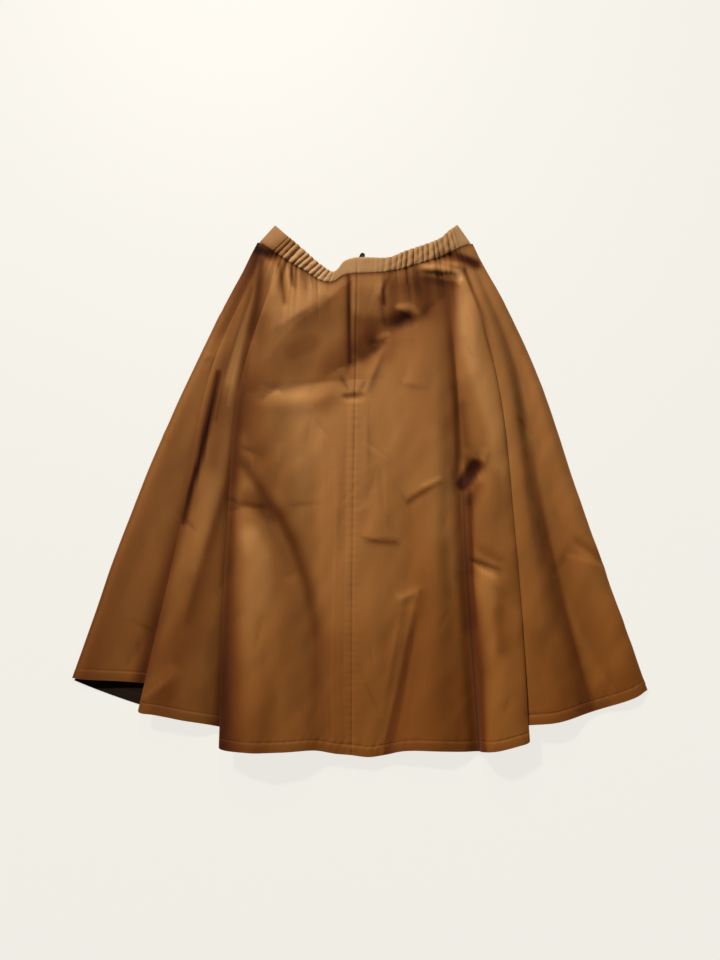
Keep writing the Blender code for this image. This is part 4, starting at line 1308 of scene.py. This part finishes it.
def grain_shape(length, width, height, rings, sides):
    """A closed grain, long in x: rings of points at x = -cos(a) length/2 whose size goes with sin(a)."""
    angles = np.linspace(GRAIN_END * math.pi, (1 - GRAIN_END) * math.pi, rings)
    turns = np.arange(sides) * 2 * math.pi / sides
    x = np.repeat(-np.cos(angles)[:, None] * length / 2, sides, axis=1)
    y = np.sin(angles)[:, None] * np.cos(turns) * width / 2
    z = np.sin(angles)[:, None] * np.sin(turns) * height / 2
    ends = np.array([[-length / 2, 0, 0], [length / 2, 0, 0]])
    points = np.concatenate([np.stack([x, y, z], axis=2).reshape(-1, 3), ends])
    number = np.arange(rings * sides).reshape(rings, sides)
    after = np.roll(number, -1, axis=1)
    first, last = np.full(sides, rings * sides), np.full(sides, rings * sides + 1)
    a, b, c, d = number[:-1], after[:-1], after[1:], number[1:]
    middle = [np.stack(corners, axis=2).reshape(-1, 3) for corners in ((a, b, c), (a, c, d))]
    caps = [np.stack([first, after[0], number[0]], axis=1), np.stack([last, number[-1], after[-1]], axis=1)]
    faces = np.concatenate([*middle, *caps])
    return points, faces[:, ::-1]


def frames_along(path, normals):
    """Turning matrices whose x follows a path and whose z follows its normals."""
    way = unit(np.gradient(path, axis=0))
    side = unit(np.cross(normals, way))
    return np.stack([way, side, np.cross(way, side)], axis=2)


def hem_stitches(name, grid, half, down, depth, pitch, material):
    """Stitches at even steps along the line on the cloth that lies the hem's depth from its edge."""
    normals = normals_of(grid)
    to_hem = down[-1] - down
    row = np.argmin(abs(to_hem - depth), axis=0)
    columns = np.arange(grid.shape[1])
    path, up = grid[row, columns], normals[row, columns]
    along = length_along(path)
    steps = np.arange(pitch, along[-1] - pitch, pitch)
    centres = points_at(steps, along, path)
    ups = unit(points_at(steps, along, up))
    shape, faces = grain_shape(pitch * STITCH_SHARE, STITCH_WIDTH, STITCH_HEIGHT, *STITCH_FACETS)
    return repeated(name, shape, faces, centres + ups * half, frames_along(centres, ups), material)


def band_edge(back, first, last):
    """The band's columns between two lines: their places and the points of the panels' top edge there."""
    columns = (back.places >= first) & (back.places <= last)
    places, edge = back.places[columns], back.grid[0][columns]
    along = length_along(edge[:, :2])
    even = np.linspace(0, along[-1], round(along[-1] / BAND_COLUMN) + 1)
    points = points_at(even, along, edge)
    return np.interp(even, along, places), points, even


def band_surface(back, first, last, pitch, rise):
    """The middle of the back waistband, each row's share of the way down it, and its furrows along it.
    Straight lines from its upper edge to the panels' seam are lifted by rounded lobes between narrow
    furrows, 2 ((1 + wave) / 2)^0.45 - 1, and by the tab that lies under it. With t as the share of the way
    down, the lobes rise from 0.72 of their height at the upper edge as 0.28 sin(2.5 pi t), and sink towards
    the seam as 1 - 0.75 t^4. The furrows differ by 0.65 + 0.35 sin(s/6.3) of the band's length s."""
    places, lower, along = band_edge(back, first, last)
    marks = [LINE_NAMES.index(top.line) for top in BAND_TOPS]
    upper = smooth(marks, [[*top.top, top.height] for top in BAND_TOPS], places)
    wave = 2 * ((1 + gather_wave(along, pitch)) / 2) ** LOBE_ROUNDNESS - 1
    lobes = wave * gather_share(places)
    way = unit(upper[:, :2] - lower[:, :2])
    lower[:, :2] += way * SEAM_GAP
    upper[:, :2] += way * (lobes * SCALLOP)[:, None]
    shares = (1 - np.cos(np.linspace(0, math.pi, BAND_ROWS))) / 2
    grid = between(upper, lower, shares)
    rounding = 0.72 + 0.28 * np.sin(math.pi * np.minimum(shares * 2.5, 0.5))
    fullness = (1 - 0.75 * shares**4) * rounding
    slack = BAND_SLACK * np.sin(2 * math.pi * (shares[:, None] * 2.0 + along[None] / BAND_SLACK_PITCH))
    grid[..., 2] += lobes[None] * rise * fullness[:, None] + slack * gather_share(places)[None]
    grid[..., 2] += swell_rise(grid[..., 0], grid[..., 1], TAB_SWELLS)
    furrows = bell(1 + gather_wave(along, pitch), FURROW) * gather_share(places)
    furrows = furrows * (0.65 + 0.35 * np.sin(along / 6.3))
    return grid, shares, furrows


def pill(shares, taper):
    """Fullness of a flat pill at shares of the way over it: sqrt(1 - taper s^6) with s from -1 to 1."""
    return np.sqrt(1 - taper * (2 * shares - 1) ** 6)[:, None]


def between(upper, lower, shares):
    """Rows of points on the straight lines from an upper edge to a lower one."""
    shares = shares[:, None, None]
    return upper[None] * (1 - shares) + lower[None] * shares


def front_edges(count):
    """Lower and upper edge of the front waistband as count points each."""
    places = np.linspace(0, len(FRONT_BAND) - 1, count)
    marks = range(len(FRONT_BAND))
    lower = smooth(marks, [band.lower for band in FRONT_BAND], places)
    upper = smooth(marks, [band.upper for band in FRONT_BAND], places)
    return lower, upper


def front_surface(hem_depth, thickness):
    """The front, lying flat from its waistband to a hem on a circle, and its thickness at each point, which
    grows over the turned hem."""
    lower, upper = front_edges(FRONT_COLUMNS)
    way = unit(lower - upper)
    waist = lower + way * SEAM_GAP
    levels = panel_levels(FRONT_ROWS, hem_depth / PANEL_LENGTH)[:, None]
    edges = line_grid(levels[:, 0])[:, [0, -1], 0]
    share = np.linspace(0, 1, FRONT_COLUMNS)[None]
    left, right = edges[:, [0]] + FRONT_INSET, edges[:, [1]] - FRONT_INSET
    x = left + (right - left) * share
    hem_y = HEM_CENTRE[1] - np.sqrt(FRONT_HEM_RADIUS**2 - (x - HEM_CENTRE[0]) ** 2)
    y = waist[:, 1][None] + (hem_y - waist[:, 1][None]) * levels
    x[0] = waist[:, 0]
    to_hem = y - hem_y
    thick = thickness + turned_rise(to_hem, hem_depth, HEM_EXTRA)
    thick = thick - FRONT_GROOVE * bell(to_hem - hem_depth, STITCH_GROOVE_WIDTH)
    return np.stack([x, y, thick / 2], axis=2), thick / 2


def tape_surface(back):
    """The zip's tape behind the seam: at each row of the back it lies under the lowest cloth nearby."""
    seam_x = line_grid(back.levels)[:, CENTRE_BACK, 0]
    y = back.grid[:, back.seam_column, 1]
    rows = np.flatnonzero(y > ZIP_END)
    offsets = np.linspace(-TAPE_WIDTH / 2, TAPE_WIDTH / 2, TAPE_COLUMNS)
    grid = []
    for row in rows:
        near = np.abs(back.grid[row, :, 0] - seam_x[row]) < TAPE_WIDTH
        cloth = back.grid[row, near]
        order = np.argsort(cloth[:, 0])
        x = seam_x[row] + offsets
        slack = [np.interp(x + shift, cloth[order, 0], cloth[order, 2]) for shift in TAPE_CLEARANCES]
        grid.append(np.column_stack([x, np.full_like(x, y[row]), np.min(slack, axis=0) - TAPE_DEPTH]))
    grid = np.array(grid)
    kernel = np.hanning(TAPE_EASE + 2)[1:-1]
    kernel = kernel / kernel.sum()
    padded = np.pad(grid[..., 2], ((TAPE_EASE // 2, TAPE_EASE // 2), (0, 0)), mode="edge")
    eased_z = [np.convolve(padded[:, column], kernel, "valid") for column in range(TAPE_COLUMNS)]
    grid[..., 2] = np.minimum(grid[..., 2], np.array(eased_z).T)
    top = np.linspace(BAND_TOP_Y - TAPE_INSET, y[0] + TAPE_TOP_GAP, TAPE_TOP_ROWS)
    above = np.repeat(grid[:1], len(top), axis=0)
    above[..., 1] = top[:, None]
    above[..., 2] = np.minimum(above[..., 2], TAPE_UNDER_BAND)
    return np.concatenate([above, grid])


def zip_teeth(tape, pitch, material):
    """The coil's turns: one short bar across the seam each pitch, on the tape's upper side."""
    middle = tape[:, TAPE_COLUMNS // 2]
    along = length_along(middle)
    steps = np.arange(pitch * 2, along[-1] - pitch, pitch)
    centres = points_at(steps, along, middle)
    centres[:, 2] += TAPE_THICKNESS / 2 + TOOTH_HEIGHT / 2
    keep = centres[:, 1] < TEETH_TOP
    shape, faces = grain_shape(TOOTH_LENGTH, pitch * TOOTH_SHARE, TOOTH_HEIGHT, *TOOTH_FACETS)
    frames = np.broadcast_to(np.eye(3), (int(keep.sum()), 3, 3))
    return repeated("zip_coil_teeth", shape, faces, centres[keep], frames, material)


def cloth_back(context):
    """The back's surface at the sizes in the panel."""
    cloth, zipper = context.scene.skirt_cloth, context.scene.skirt_zip
    return back_surface(cloth.crumple / MM, cloth.hem_depth / MM, zipper.lip_gap / MM)


def panel_fields(grid, hem_depth):
    """Tone of a back panel: painted shade along its folds, under the band, at the hem, in hollows and at the
    stitches, painted highlights on some folds, and a paler edge at the hem."""
    down = cumulative(grid, 0)
    to_hem = down[-1] - down
    # Painted shadow under the band and painted shade near the hem
    under_band = 1 - SEAM_SHADE * bell(down, SEAM_SHADE_REACH)
    at_hem = 1 - HEM_SHADE * bell(to_hem, HEM_SHADE_REACH)
    edge = HEM_EDGE_PALING * np.exp(-to_hem / EDGE_STITCH_REACH)
    return {
        "fold": 1 - (1 - painted_fold_shade(grid[..., 0], grid[..., 1])) * under_band * at_hem,
        # Painted shade in hollows
        "hollow": hollows(grid, 3) * WIDE_HOLLOW_SHADE + hollows(grid, 1),
        # Paler hem edge, and painted shade at the stitches
        "paler_edge_and_stitch_shade": edge - STITCH_SHADE * bell(to_hem - hem_depth, EDGE_STITCH_REACH),
    }


class SKIRT_OT_back(bpy.types.Operator):
    """Build the two halves of the back as thin shells on the folds of their solids"""

    bl_idname = "skirt.back"
    bl_label = "Back"

    def execute(self, context):
        settings = context.scene.skirt_cloth
        back = cloth_back(context)
        materials = skirt_materials(settings)
        thickness = settings.thickness / MM
        half = thickness / 2
        seam = back.seam_column
        floor = thickness + LAYER_GAP + half
        left = rolled_side(back.grid[:, 0], -1, floor)[:, ::-1]
        right = rolled_side(back.grid[:, -1], 1, floor)
        for name, node, parts, origin in (
            ("back_cloth_left", "back_panel_left", [left, back.grid[:, : seam + 1]], -1),
            ("back_cloth_right", "back_panel_right", [back.grid[:, seam:], right], 0),
        ):
            grid = np.concatenate(parts, axis=1)
            fields = panel_fields(grid, settings.hem_depth / MM)
            piece = shell(name, grid, half, materials, fields, origin)
            dress(piece, "skirt_cloth", node)
        return {"FINISHED"}


class SKIRT_OT_front(bpy.types.Operator):
    """Build the front, which lies flat on the floor with its wrong side up"""

    bl_idname = "skirt.front"
    bl_label = "Front"

    def execute(self, context):
        settings = context.scene.skirt_cloth
        right, wrong = skirt_materials(settings)
        grid, half = front_surface(settings.hem_depth / MM, settings.thickness / MM)
        fields = {"hollow": np.zeros(half.shape), "paler_edge_and_stitch_shade": np.zeros(half.shape)}
        # The front's upper side is its wrong side, painted near black as shadow
        piece = shell("front_cloth", grid, half, [wrong, right], fields, FRONT_COLUMNS // 2, UPRIGHT)
        dress(piece, "skirt_cloth", "front_panel")
        return {"FINISHED"}


class SKIRT_OT_waistband(bpy.types.Operator):
    """Build the gathered waistband: two parts on the back and one on the front"""

    bl_idname = "skirt.waistband"
    bl_label = "Waistband"

    def execute(self, context):
        settings = context.scene.skirt_band
        yarn = context.scene.skirt_cloth.yarn_pitch
        material = material_once("waistband_cloth", cloth_material, settings.colour, yarn, BAND_FINISH)
        back = cloth_back(context)
        for name, first, last, inner, node in (
            ("band_cloth_left", 0, CENTRE_BACK, -1, "back_band_left"),
            ("band_cloth_right", CENTRE_BACK, len(LINES) - 1, 0, "back_band_right"),
        ):
            pitch, rise = settings.gather_pitch / MM, settings.gather_rise / MM
            grid, shares, furrows = band_surface(back, first, last, pitch, rise)
            half = settings.thickness / MM / 2 * pill(shares, BAND_TAPER)
            kept = 1 - painted_fold_shade(grid[..., 0], grid[..., 1])
            # Painted shade along folds, in the furrows between gathers and in hollows
            fields = {
                "fold": 1 - kept * (1 - FURROW_SHADE * furrows[None]),
                "hollow": hollows(grid, 2) * BAND_HOLLOW_SHADE,
                "paler_edge_and_stitch_shade": np.zeros(grid.shape[:2]),
            }
            piece = shell(name, grid, half, [material], fields, inner)
            dress(piece, "band_cloth", node)
        self.build_front(settings, material)
        return {"FINISHED"}

    def build_front(self, settings, material):
        """The front part, flat below, with low lobes above: its thickness is a wave of its length."""
        lower, upper = front_edges(FRONT_BAND_COLUMNS)
        shares = np.linspace(0, 1, BAND_ROWS)
        wave = gather_wave(length_along(lower), settings.gather_pitch / MM)[None]
        half = (FRONT_BAND_HALF + FRONT_BAND_WAVE * wave) * pill(shares, FRONT_BAND_TAPER)
        grid = np.concatenate([between(upper, lower, shares), half[..., None]], axis=2)
        # Painted shade in the troughs of the band's wave
        fields = {"hollow": np.clip(-np.broadcast_to(wave, half.shape), 0, 1), "paler_edge_and_stitch_shade": np.zeros(half.shape)}
        piece = shell("front_band_cloth", grid, half, [material], fields, 0, UPRIGHT)
        dress(piece, "band_cloth", "front_band")


class SKIRT_OT_zip(bpy.types.Operator):
    """Build the zip's tape and teeth behind the seam, and finish its slider and tab"""

    bl_idname = "skirt.zip"
    bl_label = "Zip"

    def execute(self, context):
        settings = context.scene.skirt_zip
        tape = tape_surface(cloth_back(context))
        weave = material_once("zip_tape_weave", tape_material, settings.tape_colour)
        piece = shell("zip_tape_cloth", tape, TAPE_THICKNESS / 2, [weave])
        dress(piece, "tape_cloth", "zip_tape")
        nylon = material_once("zip_nylon", thread_material, settings.tape_colour, NYLON_ROUGHNESS)
        teeth = dress(zip_teeth(tape, settings.tooth_pitch / MM, nylon), "tape_cloth")
        metal = material_once("zip_dark_metal", metal_material, settings.metal_colour)
        for node in ("zip_slider", "zip_pull"):
            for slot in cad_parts[node].material_slots:
                slot.material = metal
        return {"FINISHED"}


class SKIRT_OT_stitches(bpy.types.Operator):
    """Sew the hem of the back with small stitches"""

    bl_idname = "skirt.stitches"
    bl_label = "Hem stitches"

    def execute(self, context):
        settings = context.scene.skirt_cloth
        back = cloth_back(context)
        colour = [channel * THREAD_SHADE for channel in settings.colour]
        thread = material_once("sewing_thread", thread_material, colour, THREAD_ROUGHNESS)
        down = cumulative(back.grid, 0)
        half = settings.thickness / MM / 2
        depth, pitch = settings.hem_depth / MM, settings.stitch_pitch / MM
        seam = back.seam_column
        for name, columns in (
            ("hem_stitches_left", slice(0, seam)),
            ("hem_stitches_right", slice(seam + 1, None)),
        ):
            grid, lengths = back.grid[:, columns], down[:, columns]
            dress(hem_stitches(name, grid, half, lengths, depth, pitch, thread), "skirt_cloth")
        return {"FINISHED"}


class SKIRT_OT_stage(bpy.types.Operator):
    """Lay the floor, and set up the light and the camera over it"""

    bl_idname = "skirt.stage"
    bl_label = "Stage"

    def execute(self, context):
        settings = context.scene.skirt_stage
        corners = np.array([(-1, -1), (1, -1), (1, 1), (-1, 1)]) * FLOOR_SIZE / 2
        points = np.column_stack([corners, np.full(4, -FLOOR_DROP)])
        mesh_object("floor", points, np.array([[0, 1, 2, 3]]), [floor_material(settings)])
        context.scene.world = room_world(settings)
        for light in LIGHTS:
            self.add_light(context, light, settings.light_power)
        self.add_camera(context, settings.camera_height)
        context.scene.view_settings.view_transform = "Standard"
        return {"FINISHED"}

    def add_light(self, context, light, power):
        """A light that faces the middle of the skirt. size is an area light's side or a sun's angle."""
        data = bpy.data.lights.new(light.name, light.kind)
        if light.kind == "SUN":
            data.angle = light.size
        else:
            data.size = light.size
        data.energy = power * light.share
        data.color = light.colour
        lamp = bpy.data.objects.new(light.name, data)
        lamp.location = light.place
        way = Vector(LIGHT_TARGET) - Vector(light.place)
        lamp.rotation_euler = way.to_track_quat("-Z", "Y").to_euler()
        context.scene.collection.objects.link(lamp)

    def add_camera(self, context, height):
        """A camera straight above, as wide as the photograph at the height of the cloth."""
        data = bpy.data.cameras.new("camera")
        data.sensor_fit = "HORIZONTAL"
        data.sensor_width = SENSOR_WIDTH
        data.lens = SENSOR_WIDTH * (height - CLOTH_HEIGHT) / VIEW_WIDTH
        camera = bpy.data.objects.new("camera", data)
        camera.location = (*VIEW_CENTRE, height)
        context.scene.collection.objects.link(camera)
        context.scene.camera = camera


class SKIRT_PT_panel(bpy.types.Panel):
    """Lists the skirt's sizes and colours, and the steps that build it"""

    bl_label = "Skirt"
    bl_idname = "SKIRT_PT_panel"
    bl_space_type = "VIEW_3D"
    bl_region_type = "UI"
    bl_category = "Skirt"

    def draw(self, context):
        for settings in (getattr(context.scene, name) for name in SETTINGS):
            box = self.layout.box()
            for key in settings.__annotations__:
                box.prop(settings, key)
        for step in STEPS:
            self.layout.operator(step.bl_idname)


SETTINGS = {
    "skirt_cloth": SkirtClothSettings,
    "skirt_band": SkirtBandSettings,
    "skirt_zip": SkirtZipSettings,
    "skirt_stage": SkirtStageSettings,
}
STEPS = (
    SKIRT_OT_stage,
    SKIRT_OT_back,
    SKIRT_OT_front,
    SKIRT_OT_waistband,
    SKIRT_OT_zip,
    SKIRT_OT_stitches,
)


def register():
    for group in (*SETTINGS.values(), *STEPS, SKIRT_PT_panel):
        bpy.utils.register_class(group)
    for name, group in SETTINGS.items():
        setattr(bpy.types.Scene, name, bpy.props.PointerProperty(type=group))


def unregister():
    for name in SETTINGS:
        delattr(bpy.types.Scene, name)
    for group in (SKIRT_PT_panel, *reversed(STEPS), *SETTINGS.values()):
        bpy.utils.unregister_class(group)


def main():
    """Build everything in order."""
    register()
    for step in STEPS:
        family, name = step.bl_idname.split(".")
        getattr(getattr(bpy.ops, family), name)()


if __name__ == "__main__":
    main()
